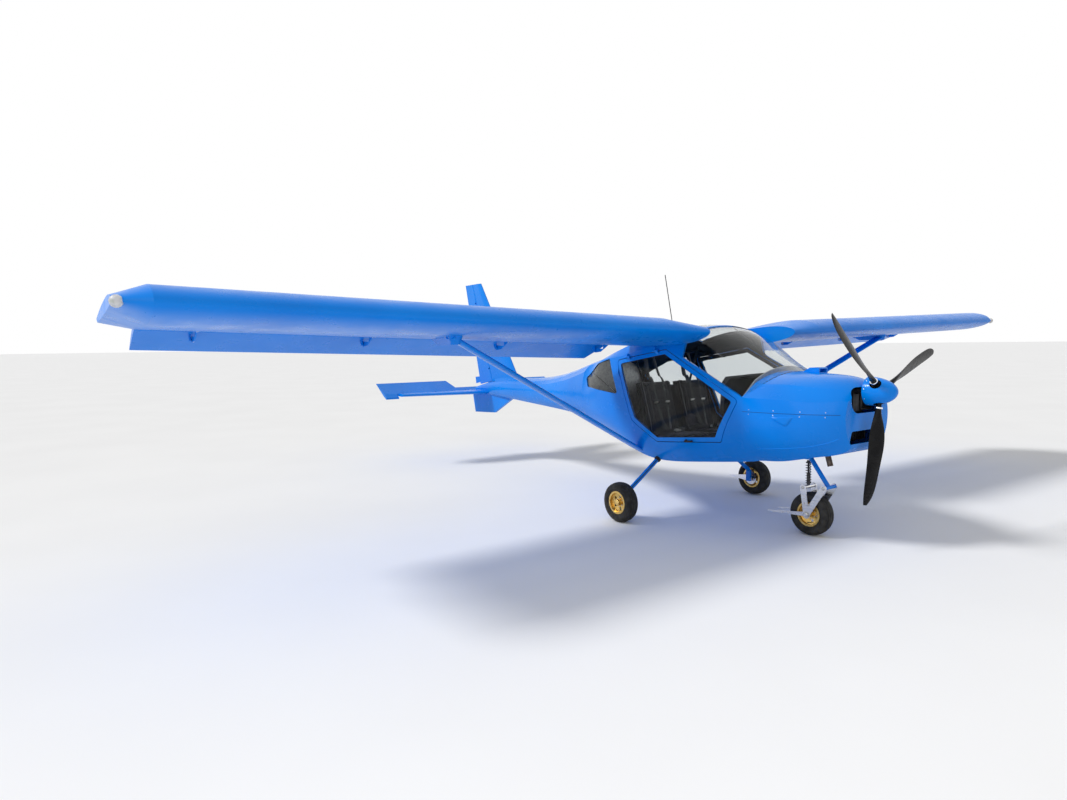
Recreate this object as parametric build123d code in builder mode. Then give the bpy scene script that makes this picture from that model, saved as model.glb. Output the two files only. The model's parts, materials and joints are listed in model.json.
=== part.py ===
from build123d import *
import os
from math import cos, radians, sin, tan

# Two-seat high-wing ultralight aircraft, parked on its tricycle gear.
# Millimetres. +X is forward, +Y is to port (left), +Z is up.
# The origin is on the ground, below the middle of the aircraft's length and span.

os.makedirs("parts", exist_ok=True)

SIDES = (("right", -1), ("left", 1))

# Overall stations
NOSE_X = 3115            # tip of the spinner
TAIL_X = -3115           # rearmost trailing edge
HALF_SPAN = 4775
FIN_TOP_Z = 2418

# Walls and clearances
CABIN_WALL = 20
GLASS_INSET = 6          # outer face of the glass below the outer face of the skin
GLASS_THICKNESS = 5
CONE_WALL = 6
COWL_WALL = 9
DOOR_GAP = 6
MOVING_GAP = 7
PIN_RADIUS = 6
PIN_CLEARANCE = 0.3

# Hull cross-sections from the windscreen's foot back to the boom.
# Columns: x, z_low, w_low, z_mid, w_mid, z_door, w_door, z_rail, w_rail, z_top
# low = edge of the flat belly, mid = widest point, door = line above the doors,
# rail = edge of the roof; w is a half-width.
CABIN_SECTIONS = (
    (2330, 630, 380, 950, 580, 1070, 575, 1205, 410, 1316),
    (2200, 615, 420, 950, 598, 1140, 588, 1275, 440, 1385),
    (1900, 575, 450, 950, 610, 1285, 582, 1450, 460, 1564),
    (1560, 535, 470, 950, 615, 1450, 572, 1632, 505, 1720),
    (1250, 512, 475, 950, 612, 1535, 565, 1652, 522, 1727),
    (1000, 535, 472, 952, 608, 1500, 563, 1600, 515, 1668),
    (760, 602, 450, 955, 598, 1447, 558, 1530, 500, 1600),
    (300, 712, 370, 968, 520, 1340, 470, 1400, 400, 1478),
    (60, 766, 312, 982, 456, 1281, 414, 1344, 347, 1419),
)
CONE_SECTIONS = (
    (60, 766, 312, 982, 456, 1281, 414, 1344, 347, 1419),
    (-150, 792, 262, 995, 400, 1230, 365, 1295, 300, 1367),
    (-700, 826, 172, 1020, 280, 1130, 255, 1180, 200, 1233),
    (-1700, 868, 80, 1000, 140, 1070, 125, 1105, 95, 1140),
    (-2450, 898, 30, 985, 62, 1025, 55, 1045, 40, 1068),
    (-2830, 905, 10, 950, 24, 968, 21, 978, 14, 990),
)
COWL_SECTIONS = (
    (2200, 615, 420, 950, 598, 1140, 588, 1245, 425, 1330),
    (2330, 632, 402, 955, 588, 1135, 565, 1240, 410, 1326),
    (2560, 668, 348, 965, 520, 1125, 490, 1232, 350, 1316),
    (2760, 712, 288, 985, 412, 1125, 375, 1215, 265, 1300),
    (2862, 748, 238, 1000, 325, 1130, 292, 1198, 205, 1265),
    (2893, 778, 205, 1005, 292, 1126, 262, 1180, 182, 1240),
)
FIREWALL_X = 2200
BULKHEAD_X = 60
COWL_FACE = 12           # thickness of the cowling's front face

# Door and window outlines in side view, as (x, z)
DOOR_OUTLINE = ((1262, 692), (1985, 762), (2162, 1112), (1368, 1512), (735, 1410), (975, 862))
DOOR_GLASS = ((1278, 730), (1938, 797), (2108, 1100), (1360, 1474), (785, 1382), (1012, 890))
QUARTER_WINDOW = ((104, 1222), (374, 1372), (604, 1424), (768, 1094), (176, 1134))
DOOR_CORNER = 30
DOOR_HINGE_REAR = (735, 578, 1420)   # two points on the port hinge's line
DOOR_HINGE_FRONT = (1368, 592, 1522)
DOOR_HINGE_STATIONS = (130, 500)     # along that line
KNUCKLE_RADIUS = 9
KNUCKLE_LENGTH = 30
DOOR_PIN_RADIUS = 5
ROOT_LEAF = ((-6, 0), (6, 0), (-4, 32), (-40, 32), (-26, 14))
DOOR_LEAF = ((-4, 0), (7, 0), (7, -14), (-12, -36), (-38, -36), (-32, -17), (-4, -17))
GLASS_CORNER = 20
HULL_REACH = 700         # half-width that contains the whole hull
SILL_Z_FRONT = 760
SILL_Z_REAR = 862
ROOF_WINDOW_X = (910, 1530)
ROOF_WINDOW_HALF_WIDTH = 430

# Wing, as a constant section; c runs back along the chord, t is up from it
WING_ROOT_Y = 575
WING_FULL_Y = 950        # the root fairing ends here
WING_TIP_Y = 4600        # the rounded tip starts here
WING_LE_X = 1870
WING_TIP_LE_Z = 1808
WING_SLOPE = 4.2         # degrees, chord falls towards the rear
WING_DIHEDRAL = 2.0
WING_CREST_C = 330
WING_UPPER = 125
WING_LOWER = 80
WING_ROOT_UPPER = 74     # the root fairing comes down to the roof
WING_TIP_EDGE = (56, 14, 55)     # upper, lower and nose setback where the tip's lower bevel ends
WING_TE_C = 1055
WING_TE_T = 50
WING_COVE_C = 985
WING_COVE_T = -38
FLAP_CHORD = 350
FLAP_DROOP = 21          # degrees below the wing's chord when parked
FLAP_LE_C = 1044
FLAP_LE_T = -8
FLAP_NOSE = 22
FLAP_HINGE_C = 1098
FLAP_HINGE_T = -80
FLAP_INNER_Y = 790
FLAP_OUTER_Y = 4585
BRACKET_STATIONS = (870, 1940, 3100, 4250)
BRACKET_THICKNESS = 10
BRACKET_RING = 20
LUG_RING = 13
LUG_THICKNESS = 8
LUG_GAP = 5

# Wing strut, lower and upper ends of its axis on the port side
STRUT_LOW = (955, 475, 569)
STRUT_TOP = (1500, 2780, 1632)
STRUT_CHORD = 100
STRUT_THICKNESS = 38
FAIRING_HALF_WIDTH = 62
FAIRING_TAIL = 460
FAIRING_DEPTH = 85
NAV_LIGHT_RADIUS = 32


def save(builder, name):
    """Label a finished piece and write its STEP file."""
    builder.part.label = name
    export_step(builder.part, f"parts/{name}.step")


def cross_plane(x):
    """Plane across the aircraft at station x: local x is to port, local y is up."""
    return Plane(origin=(x, 0, 0), x_dir=(0, 1, 0), z_dir=(1, 0, 0))


def side_plane(y):
    """Plane along the aircraft at y: local x is forward, local y is up."""
    return Plane(origin=(0, y, 0), x_dir=(1, 0, 0), z_dir=(0, -1, 0))


def hull_section(row, inset=0, x_shift=0):
    """One closed cross-section of the hull, each line moved inwards by inset."""
    x, z_low, w_low, z_mid, w_mid, z_door, w_door, z_rail, w_rail, z_top = row
    with BuildSketch(cross_plane(x + x_shift)) as section:
        with BuildLine():
            low = (w_low - inset / 2, z_low + inset)
            mid = (w_mid - inset, z_mid)
            door = (w_door - inset, z_door)
            rail = (w_rail - inset, z_rail - inset / 2)
            top = (0, z_top - inset)
            Line((-low[0], low[1]), low)
            for side in (1, -1):
                TangentArc((side * mid[0], mid[1]), (side * low[0], low[1]), tangent=(0, -1))
                TangentArc((side * mid[0], mid[1]), (side * door[0], door[1]), tangent=(0, 1))
                Line((side * door[0], door[1]), (side * rail[0], rail[1]))
            ThreePointArc(rail, top, (-rail[0], rail[1]))
        make_face()
    return section


def hull_solid(sections, inset=0, end_shift=0):
    """Solid bounded by a run of cross-sections."""
    with BuildPart() as solid:
        for row in sections[:-1]:
            add(hull_section(row, inset).sketch)
        add(hull_section(sections[-1], inset, end_shift).sketch)
        loft()
    return solid


def shell(outer, inner):
    """Wall between two solids."""
    with BuildPart() as wall:
        add(outer.part)
        add(inner.part, mode=Mode.SUBTRACT)
    return wall


def side_profile(points, corner=0, grow=0, y=0):
    """Outline drawn in side view, with rounded corners, on the plane at y."""
    with BuildSketch(side_plane(y)) as profile:
        Polygon(*points, align=None)
        if corner:
            fillet(profile.vertices(), corner)
        if grow:
            offset(amount=grow)
    return profile


def half_prism(points, side, corner=0, grow=0):
    """Side-view outline pushed out through one half of the hull."""
    with BuildPart() as prism:
        add(side_profile(points, corner, grow).sketch)
        extrude(amount=HULL_REACH, dir=(0, side, 0))
    return prism


def full_prism(points):
    """Side-view outline pushed out through both halves of the hull."""
    with BuildPart() as prism:
        add(side_profile(points, y=-HULL_REACH).sketch)
        extrude(amount=2 * HULL_REACH, dir=(0, 1, 0))
    return prism


def common(*builders):
    """Space that several solids share."""
    with BuildPart() as shared:
        add(builders[0].part)
        for other in builders[1:]:
            add(other.part, mode=Mode.INTERSECT)
    return shared


# Hull solids and walls
cabin_outer = hull_solid(CABIN_SECTIONS)
cabin_inner = hull_solid(CABIN_SECTIONS, CABIN_WALL)
cabin_shell = shell(cabin_outer, cabin_inner)
glass_shell = shell(
    hull_solid(CABIN_SECTIONS, GLASS_INSET),
    hull_solid(CABIN_SECTIONS, GLASS_INSET + GLASS_THICKNESS),
)
cowl_outer = hull_solid(COWL_SECTIONS)
cowl_shell = shell(cowl_outer, hull_solid(COWL_SECTIONS, COWL_WALL, -COWL_FACE))
door_cuts = {side: half_prism(DOOR_OUTLINE, side, DOOR_CORNER, DOOR_GAP) for _, side in SIDES}


def hinge_plane(side, along):
    """Plane across a door hinge's line: local x is outboard, local y is up (port) or down."""
    rear = Vector(DOOR_HINGE_REAR[0], side * DOOR_HINGE_REAR[1], DOOR_HINGE_REAR[2])
    front = Vector(DOOR_HINGE_FRONT[0], side * DOOR_HINGE_FRONT[1], DOOR_HINGE_FRONT[2])
    line = (front - rear).normalized()
    across = Vector(0, side, 0).cross(line).cross(line) * -1
    return Plane(origin=rear + line * along, x_dir=across, z_dir=line)


# Belly pan: the hull below the door sills
PAN_REGION = (
    (BULKHEAD_X, SILL_Z_REAR), (975, SILL_Z_REAR), (1262, 692), (1985, SILL_Z_FRONT),
    (FIREWALL_X, SILL_Z_FRONT), (FIREWALL_X, 400), (BULKHEAD_X, 400),
)
with BuildPart() as belly_pan:
    add(cabin_shell.part)
    add(full_prism(PAN_REGION).part, mode=Mode.INTERSECT)
    for cut in door_cuts.values():
        add(cut.part, mode=Mode.SUBTRACT)
save(belly_pan, "belly_pan")

# Cabin sides, before and behind each door, and the door with its glass
DECK_LINE = ((760, 1472), (560, 1440), (300, 1380), (BULKHEAD_X, 1312))
FRONT_PANEL = (
    (1985, SILL_Z_FRONT), (FIREWALL_X, SILL_Z_FRONT), (FIREWALL_X, 1140), (1900, 1285), (1560, 1450),
    (1400, 1493), (1400, 1400), (1900, 1100),
)
REAR_PANEL = (
    (BULKHEAD_X, SILL_Z_REAR), (975, SILL_Z_REAR), (975, 1000), (760, 1300), *DECK_LINE,
)
for name, side in SIDES:
    with BuildPart() as side_front:
        add(cabin_shell.part)
        add(half_prism(FRONT_PANEL, side).part, mode=Mode.INTERSECT)
        add(door_cuts[side].part, mode=Mode.SUBTRACT)
    save(side_front, f"side_front_{name}")

    with BuildPart() as side_rear:
        add(cabin_shell.part)
        add(half_prism(REAR_PANEL, side).part, mode=Mode.INTERSECT)
        add(door_cuts[side].part, mode=Mode.SUBTRACT)
        add(half_prism(QUARTER_WINDOW, side, GLASS_CORNER).part, mode=Mode.SUBTRACT)
    save(side_rear, f"side_rear_{name}")

    glass_prism = half_prism(DOOR_GLASS, side, GLASS_CORNER)
    with BuildPart() as door_frame:
        add(cabin_shell.part)
        add(half_prism(DOOR_OUTLINE, side, DOOR_CORNER).part, mode=Mode.INTERSECT)
        add(glass_prism.part, mode=Mode.SUBTRACT)
        for along in DOOR_HINGE_STATIONS:
            with BuildSketch(hinge_plane(side, along + KNUCKLE_LENGTH + PIN_CLEARANCE)):
                Circle(KNUCKLE_RADIUS - 1)
                Polygon(*[(x, side * y) for x, y in DOOR_LEAF], align=None)
            extrude(amount=KNUCKLE_LENGTH)
            with BuildSketch(hinge_plane(side, along - 2)):
                Circle(DOOR_PIN_RADIUS)
            extrude(amount=2 * KNUCKLE_LENGTH)
    save(door_frame, f"door_frame_{name}")
    save(common(glass_shell, glass_prism), f"door_glass_{name}")

with BuildPart() as quarter_windows:
    for _, side in SIDES:
        add(common(glass_shell, half_prism(QUARTER_WINDOW, side, GLASS_CORNER)).part)
save(quarter_windows, "quarter_windows")

# Roof frame between the wing roots, its window, the rear deck and the windscreen
ROOF_REGION = (
    (760, 1400), (1400, 1400), (1400, 1493), (1560, 1450), (1560, 1800), (760, 1800),
)
with BuildPart() as roof_opening:
    with BuildSketch(Plane.XY.offset(1400)):
        with Locations((sum(ROOF_WINDOW_X) / 2, 0)):
            Rectangle(ROOF_WINDOW_X[1] - ROOF_WINDOW_X[0], 2 * ROOF_WINDOW_HALF_WIDTH)
    extrude(amount=500)
with BuildPart() as roof_frame:
    add(cabin_shell.part)
    add(full_prism(ROOF_REGION).part, mode=Mode.INTERSECT)
    add(roof_opening.part, mode=Mode.SUBTRACT)
    for _, side in SIDES:
        add(door_cuts[side].part, mode=Mode.SUBTRACT)
        for along in DOOR_HINGE_STATIONS:
            with BuildSketch(hinge_plane(side, along)):
                Circle(KNUCKLE_RADIUS)
                Polygon(*[(x, side * y) for x, y in ROOT_LEAF], align=None)
                Circle(DOOR_PIN_RADIUS + PIN_CLEARANCE, mode=Mode.SUBTRACT)
            extrude(amount=KNUCKLE_LENGTH)
save(roof_frame, "roof_frame")
save(common(glass_shell, roof_opening), "roof_window")

DECK_REGION = (*DECK_LINE, (BULKHEAD_X, 1800), (760, 1800))
save(common(cabin_shell, full_prism(DECK_REGION)), "rear_deck")

WINDSCREEN_REGION = (
    (1560, 1450), (1900, 1285), (FIREWALL_X, 1140), (2330, 1070), (2330, 1800), (1560, 1800),
)
with BuildPart() as windscreen:
    add(common(glass_shell, full_prism(WINDSCREEN_REGION)).part)
    add(cowl_outer.part, mode=Mode.SUBTRACT)
save(windscreen, "windscreen")

# Firewall and rear bulkhead close the cabin's two ends
PLATE = 8
for name, x0 in (("firewall", FIREWALL_X - PLATE), ("rear_bulkhead", BULKHEAD_X)):
    with BuildPart() as plate:
        add(cabin_inner.part)
        with BuildSketch(cross_plane(x0)):
            Rectangle(2 * HULL_REACH, 4000)
        extrude(amount=PLATE, mode=Mode.INTERSECT)
    save(plate, name)

# Cowling: intakes around the spinner and in the chin, split along the middle
THRUST_Z = 1195
COWL_SPLIT_Z = 1030
INTAKE_WIDTH = 440
INTAKE_HEIGHT = 196
INTAKE_Z = 1130
MOUTH_WIDTH = 480
MOUTH_TOP_WIDTH = 410
MOUTH_Z = (806, 902)
MOUTH_CORNER = 22
SCOOP_PROFILE = ((2340, 1300), (2348, 1328), (2404, 1360), (2486, 1362), (2486, 1300))
SCOOP_Y = 60
SCOOP_WIDTH = 120
SCOOP_MOUTH = (92, 26, 45)       # width, height and depth of its opening
NOSE_SLOT_X = 2440           # middle of the slot for the nose leg
NOSE_SLOT_LENGTH = 150
NOSE_SLOT_WIDTH = 92
NOSE_CUT_LENGTH = 160
with BuildPart() as cowl_body:
    add(cowl_shell.part)
    with BuildSketch(cross_plane(COWL_SECTIONS[-1][0] - NOSE_CUT_LENGTH)):
        with Locations((0, INTAKE_Z)):
            SlotOverall(INTAKE_WIDTH, INTAKE_HEIGHT)
    extrude(amount=2 * NOSE_CUT_LENGTH, mode=Mode.SUBTRACT)
    with BuildSketch(cross_plane(COWL_SECTIONS[-1][0] - NOSE_CUT_LENGTH)) as mouth:
        Polygon(
            (-MOUTH_WIDTH / 2, MOUTH_Z[0]), (MOUTH_WIDTH / 2, MOUTH_Z[0]),
            (MOUTH_TOP_WIDTH / 2, MOUTH_Z[1]), (-MOUTH_TOP_WIDTH / 2, MOUTH_Z[1]), align=None,
        )
        fillet(mouth.vertices(), MOUTH_CORNER)
    extrude(amount=2 * NOSE_CUT_LENGTH, mode=Mode.SUBTRACT)
    with BuildSketch(Plane.XY.offset(500)):
        with Locations((NOSE_SLOT_X, 0)):
            SlotOverall(NOSE_SLOT_LENGTH, NOSE_SLOT_WIDTH)
    extrude(amount=300, mode=Mode.SUBTRACT)
with BuildPart() as scoop:
    with BuildSketch(side_plane(SCOOP_Y - SCOOP_WIDTH / 2)):
        Polygon(*SCOOP_PROFILE, align=None)
    extrude(amount=SCOOP_WIDTH, dir=(0, 1, 0))
    fillet(scoop.edges().filter_by(GeomType.LINE).group_by(Axis.Z)[-1], 14)
    mouth_width, mouth_height, mouth_depth = SCOOP_MOUTH
    with BuildSketch(cross_plane(SCOOP_PROFILE[-1][0] - mouth_depth)):
        with Locations((SCOOP_Y, SCOOP_PROFILE[3][1] - 12 - mouth_height / 2)):
            RectangleRounded(mouth_width, mouth_height, 10)
    extrude(amount=mouth_depth + 5, mode=Mode.SUBTRACT)
    add(cowl_outer.part, mode=Mode.SUBTRACT)
    add(scoop.solids().sort_by(SortBy.VOLUME)[-1], mode=Mode.INTERSECT)
for name, keep in (("cowling_upper", Keep.TOP), ("cowling_lower", Keep.BOTTOM)):
    with BuildPart() as cowling:
        add(cowl_body.part)
        split(bisect_by=Plane.XY.offset(COWL_SPLIT_Z), keep=keep)
        if keep == Keep.TOP:
            add(scoop.part)
    save(cowling, name)

# Engine, as one plain block on its mount tubes, with the propeller shaft
ENGINE_X = (2300, 2740)
ENGINE_HALF_WIDTH = 190
ENGINE_Z = (900, 1180)
GEARBOX = (180, 230, 60)         # width, height and corner radius
GEARBOX_REACH = 60               # ahead of the block and into it
GEARBOX_DROP = 45
MOUNT_Y = 150
MOUNT_Z = (940, 1140)
SHAFT_RADIUS = 30
HUB_BACK_X = 2902
MOUNT_TUBE = 12
with BuildPart() as engine_block:
    with Locations((sum(ENGINE_X) / 2, 0, sum(ENGINE_Z) / 2)):
        Box(ENGINE_X[1] - ENGINE_X[0], 2 * ENGINE_HALF_WIDTH, ENGINE_Z[1] - ENGINE_Z[0])
    with BuildSketch(cross_plane(ENGINE_X[1] - GEARBOX_REACH)):
        with Locations((0, THRUST_Z - GEARBOX_DROP)):
            RectangleRounded(*GEARBOX)
    extrude(amount=2 * GEARBOX_REACH)
    with BuildSketch(cross_plane(ENGINE_X[1])):
        with Locations((0, THRUST_Z)):
            Circle(SHAFT_RADIUS)
    extrude(amount=HUB_BACK_X - ENGINE_X[1] - PIN_CLEARANCE)
    with BuildSketch(cross_plane(FIREWALL_X)):
        with Locations(*[(y, z) for y in (-MOUNT_Y, MOUNT_Y) for z in MOUNT_Z]):
            Circle(MOUNT_TUBE)
    extrude(amount=ENGINE_X[0] - FIREWALL_X + 10)
save(engine_block, "engine_block")

EXHAUST_TOP = (2590, -60, 760)
EXHAUST_DIRECTION = (0.3, 0, -1)
EXHAUST_RADIUS = 22
EXHAUST_WALL = 4
EXHAUST_LENGTH = 172
with BuildPart() as exhaust_stub:
    with BuildSketch(Plane(origin=EXHAUST_TOP, x_dir=(1, 0, 0), z_dir=EXHAUST_DIRECTION)):
        Circle(EXHAUST_RADIUS)
        Circle(EXHAUST_RADIUS - EXHAUST_WALL, mode=Mode.SUBTRACT)
    extrude(amount=EXHAUST_LENGTH)
    add(cowl_outer.part, mode=Mode.SUBTRACT)
save(exhaust_stub, "exhaust_stub")

# Propeller and spinner
PROP_X = 2988
PROP_ANGLES = (-51, 69, 189)     # from straight up, towards port
SPINNER_RADIUS = 108
SPINNER_WALL = 4
SPINNER_BASE = 8
BLADE_SOCKET = 30
BLADE_HOLE = 40
BLADE_ROOT = 92                  # radius to which the round root socket runs
PROP_HUB_RADIUS = 68
PROP_HUB_FRONT = 30              # hub ahead of the blades' plane
# Blade stations from shank to tip. Columns: radius, chord, thickness, twist, sweep
BLADE_STATIONS = (
    (70, 44, 43.9, 40, 0),
    (150, 46, 40, 38, 0),
    (260, 98, 22, 33, 8),
    (430, 128, 16, 25, 14),
    (640, 112, 11, 18, 6),
    (790, 80, 8, 15, -12),
    (848, 34, 4, 14, -30),
)


def hub_plane(radius, angle, twist, sweep):
    """Plane across one blade: local x runs from trailing to leading edge."""
    a, b = radians(angle), radians(twist)
    out = Vector(0, sin(a), cos(a))
    chord = Vector(sin(b), -cos(b) * cos(a), cos(b) * sin(a))
    return Plane(origin=Vector(PROP_X, 0, THRUST_Z) + out * radius + chord * sweep, x_dir=chord, z_dir=out)


with BuildPart() as propeller_blades:
    for angle in PROP_ANGLES:
        with BuildPart(mode=Mode.PRIVATE) as blade:
            for radius, chord, thickness, twist, sweep in BLADE_STATIONS:
                with BuildSketch(hub_plane(radius, angle, twist, sweep)):
                    with BuildLine():
                        ThreePointArc((-chord / 2, 0), (0, thickness / 2), (chord / 2, 0))
                        ThreePointArc((-chord / 2, 0), (0, -thickness / 2), (chord / 2, 0))
                    make_face()
            loft()
        add(blade.part)
        with BuildSketch(hub_plane(0, angle, 0, 0)):
            Circle(BLADE_SOCKET)
        extrude(amount=BLADE_ROOT)
    with BuildSketch(cross_plane(HUB_BACK_X + SPINNER_BASE)):
        with Locations((0, THRUST_Z)):
            Circle(PROP_HUB_RADIUS)
    extrude(amount=PROP_X - HUB_BACK_X + PROP_HUB_FRONT)
save(propeller_blades, "propeller_blades")

with BuildPart() as spinner:
    with BuildSketch(Plane(origin=(HUB_BACK_X, 0, THRUST_Z), x_dir=(1, 0, 0), z_dir=(0, -1, 0))):
        with BuildLine():
            nose_length = NOSE_X - HUB_BACK_X
            Line((0, 0), (nose_length, 0))
            EllipticalCenterArc((0, 0), nose_length, SPINNER_RADIUS, arc_size=90)
            Line((0, SPINNER_RADIUS), (0, 0))
        make_face()
        with BuildLine():
            inner_length = nose_length - SPINNER_BASE - SPINNER_WALL
            Line((SPINNER_BASE, 0), (SPINNER_BASE + inner_length, 0))
            EllipticalCenterArc(
                (SPINNER_BASE, 0), inner_length, SPINNER_RADIUS - SPINNER_WALL, arc_size=90
            )
            Line((SPINNER_BASE, SPINNER_RADIUS - SPINNER_WALL), (SPINNER_BASE, 0))
        make_face(mode=Mode.SUBTRACT)
    revolve(axis=Axis((0, 0, THRUST_Z), (1, 0, 0)))
    for angle in PROP_ANGLES:
        with BuildSketch(hub_plane(60, angle, 0, 0)):
            Circle(BLADE_HOLE)
        extrude(amount=80, mode=Mode.SUBTRACT)
save(spinner, "spinner")

# Wing frame: chord direction and plane of one wing section


def wing_point(y, c, t):
    """Point of the wing at half-span y, chordwise c and height t, for the port side."""
    slope = radians(WING_SLOPE)
    le_z = WING_TIP_LE_Z - (HALF_SPAN - y) * tan(radians(WING_DIHEDRAL))
    return Vector(
        WING_LE_X - c * cos(slope) - t * sin(slope), y, le_z - c * sin(slope) + t * cos(slope)
    )


def wing_plane(y, side, c=0, t=0, pitch=0):
    """Plane of a wing section: local x runs back, local y up; pitch drops the rear."""
    slope = radians(WING_SLOPE + pitch)
    point = wing_point(y, c, t)
    return Plane(
        origin=(point.X, side * y, point.Z), x_dir=(-cos(slope), 0, -sin(slope)), z_dir=(0, 1, 0)
    )


def wing_section(y, side, upper=WING_UPPER, lower=WING_LOWER, setback=0):
    """Main wing profile: elliptical nose, arcs back to the trailing lip and cove."""
    crest = WING_CREST_C
    lift = upper / WING_UPPER
    with BuildSketch(wing_plane(y, side)) as section:
        with BuildLine():
            nose = crest - setback
            EllipticalCenterArc((crest, 0), nose, upper, start_angle=90, arc_size=90)
            EllipticalCenterArc((crest, 0), nose, lower, start_angle=180, arc_size=90)
            TangentArc((crest, upper), (WING_TE_C, WING_TE_T * lift), tangent=(1, 0))
            Line((WING_TE_C, WING_TE_T * lift), (WING_COVE_C, WING_COVE_T * lower / WING_LOWER))
            TangentArc(
                (crest, -lower), (WING_COVE_C, WING_COVE_T * lower / WING_LOWER), tangent=(1, 0)
            )
        make_face()
    return section


def flap_section(y, side):
    """Flaperon profile, drawn from its nose, drooped as it is parked."""
    with BuildSketch(wing_plane(y, side, FLAP_LE_C, FLAP_LE_T, FLAP_DROOP)) as section:
        with BuildLine():
            tail = 2
            CenterArc((FLAP_NOSE, 0), FLAP_NOSE, 90, 180)
            TangentArc((FLAP_NOSE, FLAP_NOSE), (FLAP_CHORD, tail), tangent=(1, 0.06))
            Line((FLAP_CHORD, tail), (FLAP_CHORD, -tail))
            Line((FLAP_CHORD, -tail), (FLAP_NOSE, -FLAP_NOSE))
        make_face()
    return section


for name, side in SIDES:
    with BuildPart() as wing:
        add(wing_section(WING_ROOT_Y, side, WING_ROOT_UPPER).sketch)
        add(wing_section(WING_FULL_Y, side).sketch)
        loft()
        add(wing_section(WING_FULL_Y, side).sketch)
        add(wing_section(WING_TIP_Y, side).sketch)
        loft()
        add(wing_section(WING_TIP_Y, side).sketch)
        add(wing_section(HALF_SPAN, side, *WING_TIP_EDGE).sketch)
        loft()
        for station in BRACKET_STATIONS:
            with BuildSketch(wing_plane(station, side)):
                Polygon(
                    (WING_COVE_C - 90, WING_COVE_T + 5), (WING_COVE_C - 8, WING_COVE_T + 5),
                    (WING_COVE_C + 5, FLAP_HINGE_T + 7), (FLAP_HINGE_C, FLAP_HINGE_T + BRACKET_RING - 2),
                    (FLAP_HINGE_C, FLAP_HINGE_T - BRACKET_RING), (WING_COVE_C + 45, FLAP_HINGE_T - 18),
                    align=None,
                )
                with Locations((FLAP_HINGE_C, FLAP_HINGE_T)):
                    Circle(BRACKET_RING)
                    Circle(PIN_RADIUS + PIN_CLEARANCE, mode=Mode.SUBTRACT)
            extrude(amount=BRACKET_THICKNESS, dir=(0, side, 0))
    save(wing, f"wing_{name}")

    with BuildPart() as flaperon:
        add(flap_section(FLAP_INNER_Y, side).sketch)
        add(flap_section(FLAP_OUTER_Y, side).sketch)
        loft()
        for station in BRACKET_STATIONS:
            lug_y = station + BRACKET_THICKNESS + LUG_GAP
            with BuildSketch(wing_plane(lug_y, side)):
                with Locations((FLAP_HINGE_C, FLAP_HINGE_T)):
                    Circle(LUG_RING)
                Polygon(
                    (FLAP_HINGE_C - LUG_RING, FLAP_HINGE_T), (FLAP_HINGE_C + LUG_RING, FLAP_HINGE_T),
                    (FLAP_HINGE_C + 32, FLAP_HINGE_T + 38), (FLAP_HINGE_C - 12, FLAP_HINGE_T + 45),
                    align=None,
                )
            extrude(amount=LUG_THICKNESS, dir=(0, side, 0))
            with BuildSketch(wing_plane(station - 1, side)):
                with Locations((FLAP_HINGE_C, FLAP_HINGE_T)):
                    Circle(PIN_RADIUS)
            extrude(amount=lug_y - station + 2, dir=(0, side, 0))
    save(flaperon, f"flaperon_{name}")

    # Strut from the cabin's side to the wing, with the fairing at its top
    strut_low = Vector(STRUT_LOW[0], side * STRUT_LOW[1], STRUT_LOW[2])
    strut_top = Vector(STRUT_TOP[0], side * STRUT_TOP[1], STRUT_TOP[2])
    strut_axis = strut_top - strut_low
    with BuildPart() as strut:
        with BuildSketch(Plane(origin=strut_low, x_dir=(1, 0, 0), z_dir=strut_axis)):
            Ellipse(STRUT_CHORD / 2, STRUT_THICKNESS / 2)
        extrude(amount=strut_axis.length)
        with BuildSketch(Plane(origin=(strut_top.X, strut_top.Y - side * 40, strut_top.Z + 30))):
            with BuildLine():
                CenterArc((0, 0), FAIRING_HALF_WIDTH, -90, 180)
                Line((0, FAIRING_HALF_WIDTH), (-FAIRING_TAIL, 0))
                Line((0, -FAIRING_HALF_WIDTH), (-FAIRING_TAIL, 0))
            make_face()
        extrude(amount=-FAIRING_DEPTH, taper=18)
        add(cabin_outer.part, mode=Mode.SUBTRACT)
        add(wing.part, mode=Mode.SUBTRACT)
    save(strut, f"strut_{name}")

    with BuildPart() as nav_light:
        lamp = wing_point(HALF_SPAN - 22, 62, 0)
        with Locations((lamp.X, side * lamp.Y, lamp.Z)):
            Sphere(NAV_LIGHT_RADIUS)
        add(wing.part, mode=Mode.SUBTRACT)
    save(nav_light, f"nav_light_{name}")

# Tailplane and elevator
TAIL_Z = 930
TAILPLANE_LE_X = -2420
TAILPLANE_TIP_LE_X = -2674
TAILPLANE_HALF_SPAN = 1200
TAILPLANE_ROOT_THICKNESS = 62
TAILPLANE_TIP_THICKNESS = 40
ELEVATOR_HINGE_X = -2860
ELEVATOR_ANGLE = 29      # degrees, trailing edge up as parked
ELEVATOR_NOSE = 17
ELEVATOR_HALF_SPAN = 1390
ELEVATOR_LENGTH = (ELEVATOR_HINGE_X - TAIL_X) / cos(radians(ELEVATOR_ANGLE))
HORN_INNER_Y = 1215
HORN_LENGTH = 80
NOTCH_CHORD = 90         # elevator chord left at the middle, behind the hinge
NOTCH_INNER_Y = 290
NOTCH_OUTER_Y = 350
TAIL_HINGE_STATIONS = (160, 640, 1120)
TAIL_LUG_THICKNESS = 8
TAIL_LUG_RING = 11
TAIL_PIN_RADIUS = 5
TAIL_SLOT_GAP = 5
TAIL_WALL = 6            # tailplane and fin are hollow
TAIL_RIB = 12            # half-thickness of the tailplane's middle rib
TAIL_SPAR = 20           # the hollow starts this far behind the root's leading edge
DRAIN_X = -2740          # drain hole on the underside of each half
DRAIN_Y = 600
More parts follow.
